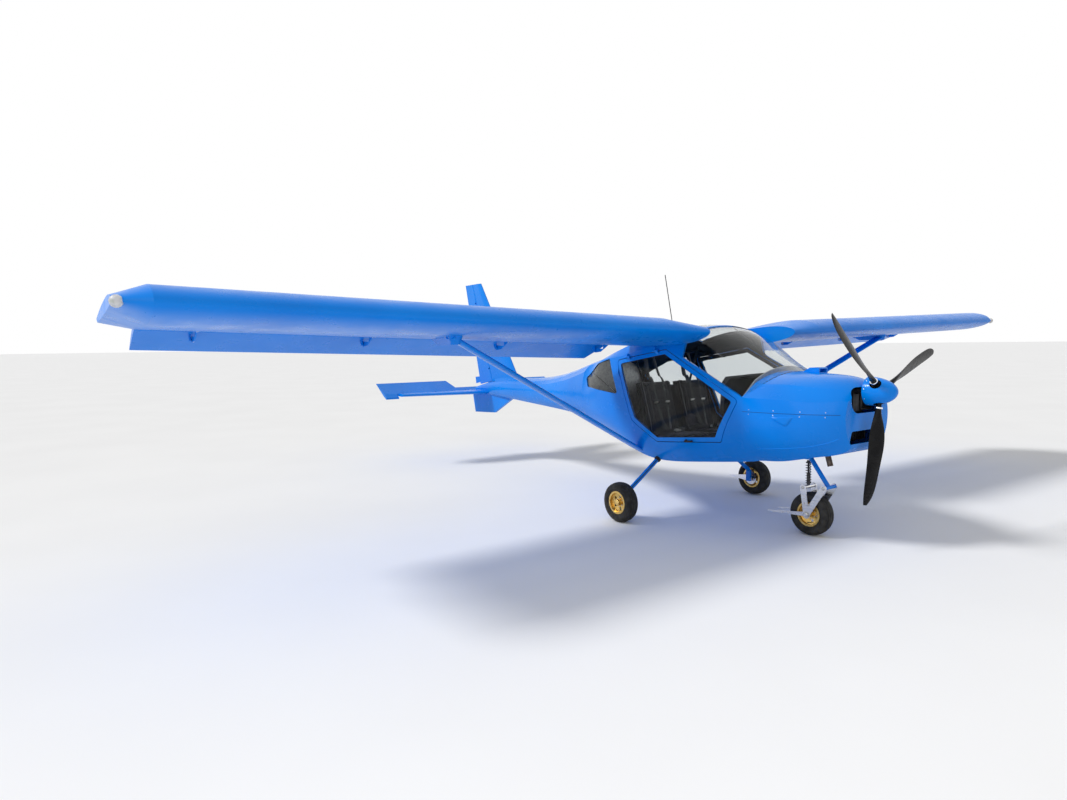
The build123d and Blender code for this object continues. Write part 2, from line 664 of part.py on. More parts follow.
DRAIN_RADIUS = 5

stab_rear_x = ELEVATOR_HINGE_X + ELEVATOR_NOSE + MOVING_GAP


def tailplane_section(y, le_x, thickness, wall=0):
    """Half-elliptic nose with straight flanks to the hinge face, drawn wall inside it."""
    crest = (le_x - stab_rear_x) * 0.35
    half = thickness / 2 - wall
    rear = (stab_rear_x + wall, ELEVATOR_NOSE - wall)
    with BuildSketch(side_plane(y)) as section:
        with BuildLine():
            EllipticalCenterArc((le_x - crest, TAIL_Z), crest - wall, half, -90, arc_size=180)
            Polyline(
                (le_x - crest, TAIL_Z + half), (rear[0], TAIL_Z + rear[1]),
                (rear[0], TAIL_Z - rear[1]), (le_x - crest, TAIL_Z - half),
            )
        make_face()
    return section


with BuildPart() as tailplane_outer:
    for _, side in SIDES:
        add(tailplane_section(0, TAILPLANE_LE_X, TAILPLANE_ROOT_THICKNESS).sketch)
        add(tailplane_section(
            side * TAILPLANE_HALF_SPAN, TAILPLANE_TIP_LE_X, TAILPLANE_TIP_THICKNESS
        ).sketch)
        loft()
with BuildPart() as tailplane:
    add(tailplane_outer.part)
    for _, side in SIDES:
        add(tailplane_section(
            side * TAIL_RIB, TAILPLANE_LE_X - TAIL_SPAR, TAILPLANE_ROOT_THICKNESS, TAIL_WALL
        ).sketch)
        add(tailplane_section(
            side * (TAILPLANE_HALF_SPAN - TAIL_WALL), TAILPLANE_TIP_LE_X, TAILPLANE_TIP_THICKNESS,
            TAIL_WALL,
        ).sketch)
        loft(mode=Mode.SUBTRACT)
        with Locations((DRAIN_X, side * DRAIN_Y, TAIL_Z)):
            Cylinder(
                DRAIN_RADIUS, TAILPLANE_ROOT_THICKNESS,
                align=(Align.CENTER, Align.CENTER, Align.MAX), mode=Mode.SUBTRACT,
            )
        for station in TAIL_HINGE_STATIONS:
            with BuildSketch(side_plane(side * station)):
                Polygon(
                    (stab_rear_x + 5, TAIL_Z + 12), (stab_rear_x + 5, TAIL_Z - 12),
                    (ELEVATOR_HINGE_X, TAIL_Z - TAIL_LUG_RING), (ELEVATOR_HINGE_X, TAIL_Z + TAIL_LUG_RING),
                    align=None,
                )
                with Locations((ELEVATOR_HINGE_X, TAIL_Z)):
                    Circle(TAIL_LUG_RING)
                    Circle(TAIL_PIN_RADIUS + PIN_CLEARANCE, mode=Mode.SUBTRACT)
            extrude(amount=TAIL_LUG_THICKNESS, dir=(0, side, 0))
save(tailplane, "tailplane")

# Tail cone, a hollow boom that the tailplane passes through
cone_outer = hull_solid(CONE_SECTIONS)
with BuildPart() as tail_cone:
    add(cone_outer.part)
    add(hull_solid(CONE_SECTIONS[:-1], CONE_WALL).part, mode=Mode.SUBTRACT)
    add(tailplane_outer.part, mode=Mode.SUBTRACT)
    add(tail_cone.solids().sort_by(SortBy.VOLUME)[-1], mode=Mode.INTERSECT)
save(tail_cone, "tail_cone")

pitch = radians(ELEVATOR_ANGLE)
chord_dir = Vector(-cos(pitch), 0, sin(pitch))


def elevator_plane(y):
    """Section plane of the elevator: local x runs back from the hinge, local y up."""
    return Plane(origin=(ELEVATOR_HINGE_X, y, TAIL_Z), x_dir=chord_dir, z_dir=(0, 1, 0))


with BuildPart() as elevator:
    with BuildSketch(elevator_plane(-ELEVATOR_HALF_SPAN)):
        with BuildLine():
            CenterArc((0, 0), ELEVATOR_NOSE, 90, 180)
            Polyline(
                (0, ELEVATOR_NOSE), (ELEVATOR_LENGTH, 2), (ELEVATOR_LENGTH, -2), (0, -ELEVATOR_NOSE)
            )
        make_face()
    extrude(amount=2 * ELEVATOR_HALF_SPAN)
    for _, side in SIDES:
        with BuildSketch(elevator_plane(side * HORN_INNER_Y)):
            with BuildLine():
                CenterArc((-HORN_LENGTH, 0), 12, 90, 180)
                Polyline(
                    (-HORN_LENGTH, 12), (0, ELEVATOR_NOSE), (0, -ELEVATOR_NOSE), (-HORN_LENGTH, -12)
                )
            make_face()
        extrude(amount=ELEVATOR_HALF_SPAN - HORN_INNER_Y, dir=(0, side, 0))
    with BuildSketch(Plane(
        origin=(ELEVATOR_HINGE_X, 0, TAIL_Z), x_dir=chord_dir, z_dir=(sin(pitch), 0, cos(pitch))
    )):
        Polygon(
            (NOTCH_CHORD, -NOTCH_INNER_Y), (ELEVATOR_LENGTH + 20, -NOTCH_OUTER_Y),
            (ELEVATOR_LENGTH + 20, NOTCH_OUTER_Y), (NOTCH_CHORD, NOTCH_INNER_Y), align=None,
        )
    extrude(amount=60, both=True, mode=Mode.SUBTRACT)
    for _, side in SIDES:
        for station in TAIL_HINGE_STATIONS:
            with BuildSketch(side_plane(side * (station - TAIL_SLOT_GAP))):
                with Locations((ELEVATOR_HINGE_X, TAIL_Z)):
                    Circle(ELEVATOR_NOSE + TAIL_SLOT_GAP)
            extrude(
                amount=TAIL_LUG_THICKNESS + 2 * TAIL_SLOT_GAP, dir=(0, side, 0), mode=Mode.SUBTRACT
            )
            with BuildSketch(side_plane(side * (station - TAIL_SLOT_GAP - 1))):
                with Locations((ELEVATOR_HINGE_X, TAIL_Z)):
                    Circle(TAIL_PIN_RADIUS)
            extrude(amount=TAIL_LUG_THICKNESS + 2 * TAIL_SLOT_GAP + 2, dir=(0, side, 0))
save(elevator, "elevator")

# Fin and rudder. Lines in side view run straight from the root to the top.
FIN_ROOT_Z = 980
FIN_LE_X = (-1664, -2667)        # at FIN_ROOT_Z and at the top
FIN_HINGE_X = (-2364, -2890)
FIN_TE_X = (-2709, -3090)
FIN_THICKNESS = (78, 44)
RUDDER_NOSE = (22, 14)
RUDDER_BOTTOM = ((-2300, 1105), (-2800, 1015))   # x and z along the rudder's lower edge
RUDDER_HINGE_Z = (1250, 2150)
RUDDER_TAB = ((-2700, 1140), (-2860, 1125), (-2845, 1035), (-2690, 1060))


def fin_section(z, le_x, hinge_x, thickness, nose, wall=0):
    """Fin profile in plan: elliptic nose, straight flanks, flat face ahead of the rudder."""
    crest = (le_x - hinge_x) * 0.35
    half = thickness / 2 - wall
    rear = hinge_x + nose + MOVING_GAP + wall
    half_rear = nose - wall
    with BuildSketch(Plane.XY.offset(z)) as section:
        with BuildLine():
            EllipticalCenterArc((le_x - crest, 0), crest - wall, half, -90, arc_size=180)
            Polyline((le_x - crest, half), (rear, half_rear), (rear, -half_rear), (le_x - crest, -half))
        make_face()
    return section


def rudder_section(z, hinge_x, te_x, nose):
    """Rudder profile in plan: round nose about the hinge, straight flanks."""
    with BuildSketch(Plane.XY.offset(z)) as section:
        with BuildLine():
            CenterArc((hinge_x, 0), nose, -90, 180)
            Polyline((hinge_x, nose), (te_x, 2), (te_x, -2), (hinge_x, -nose))
        make_face()
    return section


fin_height = FIN_TOP_Z - FIN_ROOT_Z
hinge_axis = Vector(FIN_HINGE_X[1] - FIN_HINGE_X[0], 0, fin_height).normalized()


def rudder_hinge_plane(z):
    """Plane square to the rudder's hinge line at height z."""
    x = FIN_HINGE_X[0] + (FIN_HINGE_X[1] - FIN_HINGE_X[0]) * (z - FIN_ROOT_Z) / fin_height
    return Plane(origin=(x, 0, z), x_dir=(0, 1, 0), z_dir=hinge_axis)


fin_rows = tuple(zip((FIN_ROOT_Z, FIN_TOP_Z), FIN_LE_X, FIN_HINGE_X, FIN_TE_X, FIN_THICKNESS, RUDDER_NOSE))
with BuildPart() as fin_cavity:
    for z, le_x, hinge_x, te_x, thickness, nose in fin_rows:
        add(fin_section(z, le_x, hinge_x, thickness, nose, TAIL_WALL).sketch)
    loft()
    split(bisect_by=Plane.XY.offset(FIN_TOP_Z - TAIL_WALL), keep=Keep.BOTTOM)
with BuildPart() as fin:
    for z, le_x, hinge_x, te_x, thickness, nose in fin_rows:
        add(fin_section(z, le_x, hinge_x, thickness, nose).sketch)
    loft()
    add(fin_cavity.part, mode=Mode.SUBTRACT)
    for z in RUDDER_HINGE_Z:
        with BuildSketch(rudder_hinge_plane(z)):
            Rectangle(2 * TAIL_LUG_RING, 40, align=(Align.CENTER, Align.MAX))
            Circle(TAIL_LUG_RING)
            Circle(TAIL_PIN_RADIUS + PIN_CLEARANCE, mode=Mode.SUBTRACT)
        extrude(amount=TAIL_LUG_THICKNESS)
    add(cone_outer.part, mode=Mode.SUBTRACT)
save(fin, "fin")

with BuildPart() as rudder:
    for z, le_x, hinge_x, te_x, thickness, nose in fin_rows:
        add(rudder_section(z, hinge_x, te_x, nose).sketch)
    loft()
    with BuildSketch(side_plane(0)):
        Polygon(*RUDDER_BOTTOM, (-2800, 800), (-2300, 800), align=None)
    extrude(amount=200, both=True, mode=Mode.SUBTRACT)
    with BuildSketch(side_plane(0)):
        Polygon(*RUDDER_TAB, align=None)
    extrude(amount=2, both=True)
    for z in RUDDER_HINGE_Z:
        with BuildSketch(rudder_hinge_plane(z).offset(-TAIL_SLOT_GAP)):
            Circle(RUDDER_NOSE[0] + TAIL_SLOT_GAP)
        extrude(amount=TAIL_LUG_THICKNESS + 2 * TAIL_SLOT_GAP, mode=Mode.SUBTRACT)
        with BuildSketch(rudder_hinge_plane(z).offset(-TAIL_SLOT_GAP - 1)):
            Circle(TAIL_PIN_RADIUS)
        extrude(amount=TAIL_LUG_THICKNESS + 2 * TAIL_SLOT_GAP + 2)
save(rudder, "rudder")

VENTRAL_HALF_THICKNESS = 18
VENTRAL_OUTLINE = (
    (-1850, 900), (-2348, 655), (-2848, 632), (-2905, 864), (-2898, 886), (-2836, 890), (-2815, 915),
)
with BuildPart() as ventral_fin:
    with BuildSketch(side_plane(-VENTRAL_HALF_THICKNESS)):
        Polygon(*VENTRAL_OUTLINE, align=None)
    extrude(amount=2 * VENTRAL_HALF_THICKNESS, dir=(0, 1, 0))
    add(cone_outer.part, mode=Mode.SUBTRACT)
    add(tailplane_outer.part, mode=Mode.SUBTRACT)
save(ventral_fin, "ventral_fin")

# Wheels: tyre and rim turn about a fixed axle
TYRE_RADIUS = 176
TYRE_WIDTH = 126
TYRE_WIDEST = 134                # radius at which the sidewall is widest
TYRE_SHOULDER = (48, 166)        # half-width and radius where the tread meets the sidewall
BEAD = (46, 92)                  # half-width and radius of the bead seat
BEAD_TOP = 102                   # radius at which the sidewall leaves the rim's flange
RIM_FLANGE = 9
RIM_WALL = 6
HUB_RADIUS = 27
AXLE_RADIUS = 12
RIM_LIP = 4                      # thickness of each flange
WEB_HUB = (6, 14, 20)            # inner face, outer face and radius of the web at the hub
WEB_SEAT = (18, 26)              # inner and outer face of the web under the bead seat
HUB_WIDTH = 72
RIM_HOLE_CIRCLE = 56
SEAT_GAP = 0.3
RIM_HOLES = 5
RIM_HOLE_RADIUS = 13
MAIN_WHEEL_X = 1180
MAIN_WHEEL_Y = 930
NOSE_WHEEL_X = 2446


def wheel_plane(x, y):
    """Half-plane through a wheel's axle: local x along the axle, local y outwards."""
    return Plane(origin=(x, y, TYRE_RADIUS), x_dir=(0, 1, 0), z_dir=(1, 0, 0))


def tyre(x, y):
    """Tyre with a crowned tread and round sidewalls."""
    with BuildPart() as body:
        with BuildSketch(wheel_plane(x, y)):
            with BuildLine():
                half, radius = TYRE_SHOULDER
                bead_half, bead_radius = BEAD
                ThreePointArc((-half, radius), (0, TYRE_RADIUS), (half, radius))
                for s in (1, -1):
                    ThreePointArc(
                        (s * half, radius), (s * TYRE_WIDTH / 2, TYRE_WIDEST), (s * bead_half, BEAD_TOP)
                    )
                    Line((s * bead_half, BEAD_TOP), (s * bead_half, bead_radius))
                Line((bead_half, bead_radius), (-bead_half, bead_radius))
            make_face()
        revolve(axis=Axis((x, y, TYRE_RADIUS), (0, 1, 0)))
    return body


def rim(x, y, side):
    """Two-flanged rim with a dished web, lightening holes and a bored hub."""
    half, radius = BEAD
    seat = radius - SEAT_GAP
    with BuildPart() as body:
        with BuildSketch(wheel_plane(x, y)):
            inner = half + 1
            edge = inner + RIM_LIP
            Polygon(
                (-edge, seat - RIM_WALL), (edge, seat - RIM_WALL), (edge, seat + RIM_FLANGE),
                (inner, seat + RIM_FLANGE), (inner, seat), (-inner, seat),
                (-inner, seat + RIM_FLANGE), (-edge, seat + RIM_FLANGE), align=None,
            )
            Polygon(
                (side * WEB_HUB[0], WEB_HUB[2]), (side * WEB_HUB[1], WEB_HUB[2]),
                (side * WEB_SEAT[1], seat - RIM_WALL / 2), (side * WEB_SEAT[0], seat - RIM_WALL / 2),
                align=None,
            )
            with Locations((0, (HUB_RADIUS + AXLE_RADIUS + PIN_CLEARANCE) / 2)):
                Rectangle(HUB_WIDTH, HUB_RADIUS - AXLE_RADIUS - PIN_CLEARANCE)
        revolve(axis=Axis((x, y, TYRE_RADIUS), (0, 1, 0)))
        with BuildSketch(
            Plane(origin=(x, y - TYRE_WIDTH / 2, TYRE_RADIUS), x_dir=(1, 0, 0), z_dir=(0, 1, 0))
        ):
            with PolarLocations(RIM_HOLE_CIRCLE, RIM_HOLES):
                Circle(RIM_HOLE_RADIUS)
        extrude(amount=TYRE_WIDTH, mode=Mode.SUBTRACT)
    return body


# Columns: node suffix, x, y, outboard side of the dish
WHEELS = (
    ("main_right", MAIN_WHEEL_X, -MAIN_WHEEL_Y, -1),
    ("main_left", MAIN_WHEEL_X, MAIN_WHEEL_Y, 1),
    ("nose", NOSE_WHEEL_X, 0, -1),
)
for name, x, y, side in WHEELS:
    save(tyre(x, y), f"tyre_{name}")
    save(rim(x, y, side), f"rim_{name}")

# Main gear: a leg tube each side, with a knuckle, axle and mud plate
LEG_RADIUS = 20
LEG_TOP = (1190, 430, 551)
LEG_FOOT = (1180, 838, 262)
KNUCKLE = (50, 24, 116)
KNUCKLE_Y = 838
KNUCKLE_Z = 205
MUD_PLATE = ((1205, 208), (1205, 145), (1150, 145), (925, 166), (925, 174), (1150, 208))
MUD_PLATE_THICKNESS = 4
AXLE_END = 44                    # axle beyond the wheel's centre plane
for name, side in SIDES:
    top = Vector(LEG_TOP[0], side * LEG_TOP[1], LEG_TOP[2])
    foot = Vector(LEG_FOOT[0], side * LEG_FOOT[1], LEG_FOOT[2])
    with BuildPart() as main_leg:
        with BuildSketch(Plane(origin=foot, x_dir=(1, 0, 0), z_dir=top - foot)):
            Circle(LEG_RADIUS)
        extrude(amount=(top - foot).length)
        with Locations((MAIN_WHEEL_X, side * KNUCKLE_Y, KNUCKLE_Z)):
            Box(*KNUCKLE)
        with BuildSketch(side_plane(side * KNUCKLE_Y)):
            with Locations((MAIN_WHEEL_X, TYRE_RADIUS)):
                Circle(AXLE_RADIUS)
        extrude(amount=MAIN_WHEEL_Y + AXLE_END - KNUCKLE_Y, dir=(0, side, 0))
        add(cabin_outer.part, mode=Mode.SUBTRACT)
    save(main_leg, f"main_leg_{name}")

    with BuildPart() as mud_plate:
        with BuildSketch(side_plane(side * (KNUCKLE_Y + KNUCKLE[1] / 2))):
            Polygon(*MUD_PLATE, align=None)
            with Locations((MAIN_WHEEL_X, TYRE_RADIUS)):
                Circle(AXLE_RADIUS, mode=Mode.SUBTRACT)
        extrude(amount=MUD_PLATE_THICKNESS, dir=(0, side, 0))
    save(mud_plate, f"mud_plate_{name}")

# Nose gear: head tube, leading leg tube, spring strut and V-shaped fork plates
STEER_X = 2420
HEAD_RADIUS = 18
HEAD_Z = (640, 868)
FORK_FRONT = (2592, 411)
FORK_REAR = (2411, 392)
FORK_PLATE_Y = 72
FORK_PLATE = 5
FORK_ARM = 52
FORK_BOSS = 32                   # radius of the plates about the axle
FRONT_BOLT_RADIUS = 15
REAR_BOLT_RADIUS = 14
CLAMP = (60, 44, 36)             # block at the foot of the head tube
CLAMP_Z = 634
SHIELD_TAIL = ((2082, 141), (2082, 149))         # end of the flat plate behind the nose wheel
AXLE_STUB = 16                   # axle end beyond each fork plate, for a tow bar
DAMPER_TOP_Z = 612
SPRING_RADIUS = 23
SPRING_COILS = 8
SPRING_END = 15                  # bare rod at each end of the spring
DAMPER_ROD = 11
BEARING_Z = (750, 840)
BEARING_WALL = 14
BEARING_ARM = 50
with BuildPart() as nose_leg:
    with BuildSketch(Plane.XY.offset(HEAD_Z[0])):
        with Locations((STEER_X, 0)):
            Circle(HEAD_RADIUS)
    extrude(amount=HEAD_Z[1] - HEAD_Z[0])
    with Locations((STEER_X - 8, 0, CLAMP_Z)):
        Box(*CLAMP)
    knee = Vector(FORK_FRONT[0], 0, FORK_FRONT[1])
    head = Vector(STEER_X, 0, HEAD_Z[0])
    with BuildSketch(Plane(origin=knee, x_dir=(0, 1, 0), z_dir=head - knee)):
        Circle(LEG_RADIUS - 2)
    extrude(amount=(head - knee).length)
    with BuildSketch(side_plane(FORK_PLATE_Y - SEAT_GAP)):
        with Locations(FORK_FRONT):
            Circle(FRONT_BOLT_RADIUS)
    extrude(amount=2 * (FORK_PLATE_Y - SEAT_GAP))
save(nose_leg, "nose_leg")

with BuildPart() as nose_fork:
    for side in (1, -1):
        with BuildSketch(side_plane(side * FORK_PLATE_Y)):
            for tip in (FORK_FRONT, FORK_REAR):
                arm = Vector(tip[0] - NOSE_WHEEL_X, tip[1] - TYRE_RADIUS)
                across = Vector(-arm.Y, arm.X).normalized() * (FORK_ARM / 2)
                Polygon(
                    (NOSE_WHEEL_X + across.X, TYRE_RADIUS + across.Y),
                    (NOSE_WHEEL_X - across.X, TYRE_RADIUS - across.Y),
                    (tip[0] - across.X, tip[1] - across.Y), (tip[0] + across.X, tip[1] + across.Y),
                    align=None,
                )
                with Locations(tip):
                    Circle(FORK_ARM / 2)
            with Locations((NOSE_WHEEL_X, TYRE_RADIUS)):
                Circle(FORK_BOSS)
            Polygon(
                (NOSE_WHEEL_X, TYRE_RADIUS + 24), (NOSE_WHEEL_X, TYRE_RADIUS - 14),
                *SHIELD_TAIL, (NOSE_WHEEL_X - 60, TYRE_RADIUS + 14), align=None,
            )
        extrude(amount=FORK_PLATE, dir=(0, side, 0))
    with BuildSketch(side_plane(FORK_PLATE_Y)):
        with Locations(FORK_REAR):
            Circle(REAR_BOLT_RADIUS)
    extrude(amount=2 * FORK_PLATE_Y)
    axle_half = FORK_PLATE_Y + FORK_PLATE + AXLE_STUB
    with BuildSketch(side_plane(axle_half)):
        with Locations((NOSE_WHEEL_X, TYRE_RADIUS)):
            Circle(AXLE_RADIUS)
    extrude(amount=2 * axle_half)
save(nose_fork, "nose_fork")

with BuildPart() as nose_damper:
    foot = Vector(FORK_REAR[0], 0, FORK_REAR[1] + REAR_BOLT_RADIUS)
    top = Vector(STEER_X - 12, 0, DAMPER_TOP_Z + 4)
    length = (top - foot).length
    damper_plane = Plane(origin=foot, x_dir=(0, 1, 0), z_dir=top - foot)
    with BuildSketch(damper_plane):
        Circle(DAMPER_ROD)
    extrude(amount=length)
    coil_pitch = (length - 2 * SPRING_END) / SPRING_COILS
    for k in range(SPRING_COILS):
        with BuildSketch(damper_plane.offset(SPRING_END + k * coil_pitch)):
            Circle(SPRING_RADIUS - 5)
        extrude(amount=coil_pitch)
        with BuildSketch(damper_plane.offset(SPRING_END + (k + 0.2) * coil_pitch)):
            Circle(SPRING_RADIUS)
        extrude(amount=coil_pitch * 0.6)
    add(nose_leg.part, mode=Mode.SUBTRACT)
save(nose_damper, "nose_damper")

with BuildPart() as steering_bearing:
    with BuildSketch(Plane.XY.offset(BEARING_Z[0])):
        with Locations((STEER_X, 0)):
            Circle(HEAD_RADIUS + BEARING_WALL)
        with Locations(((STEER_X + FIREWALL_X) / 2, 0)):
            Rectangle(STEER_X - FIREWALL_X, BEARING_ARM)
        with Locations((STEER_X, 0)):
            Circle(HEAD_RADIUS + PIN_CLEARANCE, mode=Mode.SUBTRACT)
    extrude(amount=BEARING_Z[1] - BEARING_Z[0])
save(steering_bearing, "steering_bearing")

# Cabin fittings
SEAT_Y = 250
SEAT_HALF_WIDTH = 205
CUSHION_HALF_WIDTH = 200
SEAT_FRAME = (
    (1460, 650), (1460, 626), (1425, 626), (1425, 400), (1390, 400), (1390, 626), (1075, 626),
    (1075, 400), (1035, 400), (1035, 650), (868, 1190), (888, 1197), (1052, 650),
)
SEAT_PAN = ((1455, 650), (1460, 700), (1430, 742), (1120, 722), (1078, 700), (1062, 650))
SEAT_BACK = ((1036, 705), (1085, 730), (938, 1205), (912, 1225), (886, 1206))
with BuildPart() as seat_frames:
    for _, side in SIDES:
        with BuildSketch(side_plane(side * SEAT_Y - SEAT_HALF_WIDTH)):
            Polygon(*SEAT_FRAME, align=None)
        extrude(amount=2 * SEAT_HALF_WIDTH, dir=(0, 1, 0))
    add(cabin_inner.part, mode=Mode.INTERSECT)
save(seat_frames, "seat_frames")
for name, side in SIDES:
    for piece, outline in (("seat_pan", SEAT_PAN), ("seat_back", SEAT_BACK)):
        with BuildPart() as cushion:
            with BuildSketch(side_plane(side * SEAT_Y - CUSHION_HALF_WIDTH)):
                Polygon(*outline, align=None)
            extrude(amount=2 * CUSHION_HALF_WIDTH, dir=(0, 1, 0))
        save(cushion, f"{piece}_{name}")

PANEL_PROFILE = (
    (1985, 1292), (2192, 1322), (2192, 1312), (2025, 1275), (2025, 1000), (1985, 1000),
)
with BuildPart() as instrument_panel:
    add(full_prism(PANEL_PROFILE).part)
    add(cabin_inner.part, mode=Mode.INTERSECT)
save(instrument_panel, "instrument_panel")

STICK_X = 1560
STICK_Z = (400, 820)             # foot and top of the centre post
STICK_BAR_Z = 810
STICK_BAR_HALF = 140
STICK_GRIP_Z = (800, 930)
STICK_RADII = (13, 11, 16)       # post, cross bar, grips
with BuildPart() as control_stick:
    with BuildSketch(Plane.XY.offset(STICK_Z[0])):
        with Locations((STICK_X, 0)):
            Circle(STICK_RADII[0])
    extrude(amount=STICK_Z[1] - STICK_Z[0])
    with BuildSketch(side_plane(STICK_BAR_HALF)):
        with Locations((STICK_X, STICK_BAR_Z)):
            Circle(STICK_RADII[1])
    extrude(amount=2 * STICK_BAR_HALF)
    for side in (1, -1):
        with BuildSketch(Plane.XY.offset(STICK_GRIP_Z[0])):
            with Locations((STICK_X, side * STICK_BAR_HALF)):
                Circle(STICK_RADII[2])
        extrude(amount=STICK_GRIP_Z[1] - STICK_GRIP_Z[0])
    add(cabin_inner.part, mode=Mode.INTERSECT)
save(control_stick, "control_stick")

# Steel tubes behind the seats: port side, from roof corner to floor, and across the roof
CABIN_TUBES = (
    ((832, 440, 1480), (858, 70, 560)),
    ((832, 440, 1480), (832, -440, 1480)),
)
CABIN_TUBE_RADIUS = 11
TUBE_REACH = 60                  # tubes run on into the skin, which trims them
with BuildPart() as cabin_tubes:
    for _, side in SIDES:
        for start, end in CABIN_TUBES:
            foot = Vector(start[0], side * start[1], start[2])
            head = Vector(end[0], side * end[1], end[2])
            reach = (head - foot).normalized() * TUBE_REACH
            with BuildSketch(Plane(origin=foot - reach, x_dir=(1, 0, 0), z_dir=head - foot)):
                Circle(CABIN_TUBE_RADIUS)
            extrude(amount=(head - foot).length + 2 * TUBE_REACH)
    add(cabin_inner.part, mode=Mode.INTERSECT)
save(cabin_tubes, "cabin_tubes")

ANTENNA = ((865, 80, 1600), (730, 80, 2246))
ANTENNA_RADIUS = 4
ANTENNA_BASE = (14, 26)          # radius and height
with BuildPart() as antenna:
    base = Vector(*ANTENNA[0])
    tip = Vector(*ANTENNA[1])
    with BuildSketch(Plane(origin=base, x_dir=(0, 1, 0), z_dir=tip - base)):
        Circle(ANTENNA_RADIUS)
    extrude(amount=(tip - base).length)
    with Locations((base.X - 8, base.Y, base.Z + 40)):
        Cylinder(*ANTENNA_BASE)
    add(cabin_outer.part, mode=Mode.SUBTRACT)
save(antenna, "antenna")
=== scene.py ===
# %% [markdown]
# An ultralight aircraft is mostly one smooth blue skin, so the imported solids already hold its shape.
# This lesson keeps those solids in place, gives each one a finish that behaves like the real one, and
# adds what a solid is too coarse to hold: soft seats, rubber seals, tyre tread, screws and instruments.
# Everything is in metres, with +X to the nose, +Y to port and +Z up.

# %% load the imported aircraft
import json
from math import cos, pi, radians, sin, tan

import bmesh
import bpy
from mathutils import Matrix, Vector
from mathutils.bvhtree import BVHTree


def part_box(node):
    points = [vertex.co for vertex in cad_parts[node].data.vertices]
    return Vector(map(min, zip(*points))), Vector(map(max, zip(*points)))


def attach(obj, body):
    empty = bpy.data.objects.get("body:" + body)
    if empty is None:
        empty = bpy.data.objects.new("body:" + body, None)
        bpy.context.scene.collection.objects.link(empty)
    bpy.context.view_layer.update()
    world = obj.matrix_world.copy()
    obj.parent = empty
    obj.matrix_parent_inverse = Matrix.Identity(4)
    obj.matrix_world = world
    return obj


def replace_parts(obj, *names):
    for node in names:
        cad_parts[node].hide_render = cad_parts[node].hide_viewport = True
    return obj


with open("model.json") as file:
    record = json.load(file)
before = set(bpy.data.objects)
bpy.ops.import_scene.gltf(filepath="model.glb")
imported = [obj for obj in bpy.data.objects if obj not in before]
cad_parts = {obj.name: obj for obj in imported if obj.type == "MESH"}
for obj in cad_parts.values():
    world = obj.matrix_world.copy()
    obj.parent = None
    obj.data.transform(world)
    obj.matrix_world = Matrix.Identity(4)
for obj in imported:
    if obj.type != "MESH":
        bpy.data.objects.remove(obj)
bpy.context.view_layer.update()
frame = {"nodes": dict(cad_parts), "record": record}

nodes = frame["nodes"]
SIDES = (("right", -1), ("left", 1))

# %% [markdown]
# The camera stands ahead of the aircraft and as far to starboard as the wing tip, at eye height and with
# a wide lens. Its place, aim and lens came from lining up known points of the aircraft with the
# photograph, and so did its slight roll.

# %% camera
CAMERA_PLACE = Vector((5.7296, -5.0883, 1.5715))
CAMERA_YAW, CAMERA_PITCH, CAMERA_ROLL = radians(144.671), radians(-4.518), radians(-0.683)
LENS_MM = 23.693
SENSOR_MM = 36.0

forward = Vector((
    cos(CAMERA_YAW) * cos(CAMERA_PITCH), sin(CAMERA_YAW) * cos(CAMERA_PITCH), sin(CAMERA_PITCH)
))
level_right = forward.cross(Vector((0, 0, 1))).normalized()
level_up = level_right.cross(forward)
right = level_right * cos(CAMERA_ROLL) + level_up * sin(CAMERA_ROLL)
up = level_up * cos(CAMERA_ROLL) - level_right * sin(CAMERA_ROLL)

camera_data = bpy.data.cameras.new("camera")
camera_data.lens, camera_data.sensor_width = LENS_MM, SENSOR_MM
camera = bpy.data.objects.new("camera", camera_data)
bpy.context.scene.collection.objects.link(camera)
camera.matrix_world = Matrix((
    (right.x, up.x, -forward.x, CAMERA_PLACE.x),
    (right.y, up.y, -forward.y, CAMERA_PLACE.y),
    (right.z, up.z, -forward.z, CAMERA_PLACE.z),
    (0, 0, 0, 1),
))
bpy.context.scene.camera = camera
print("camera looks along", [round(v, 3) for v in forward])
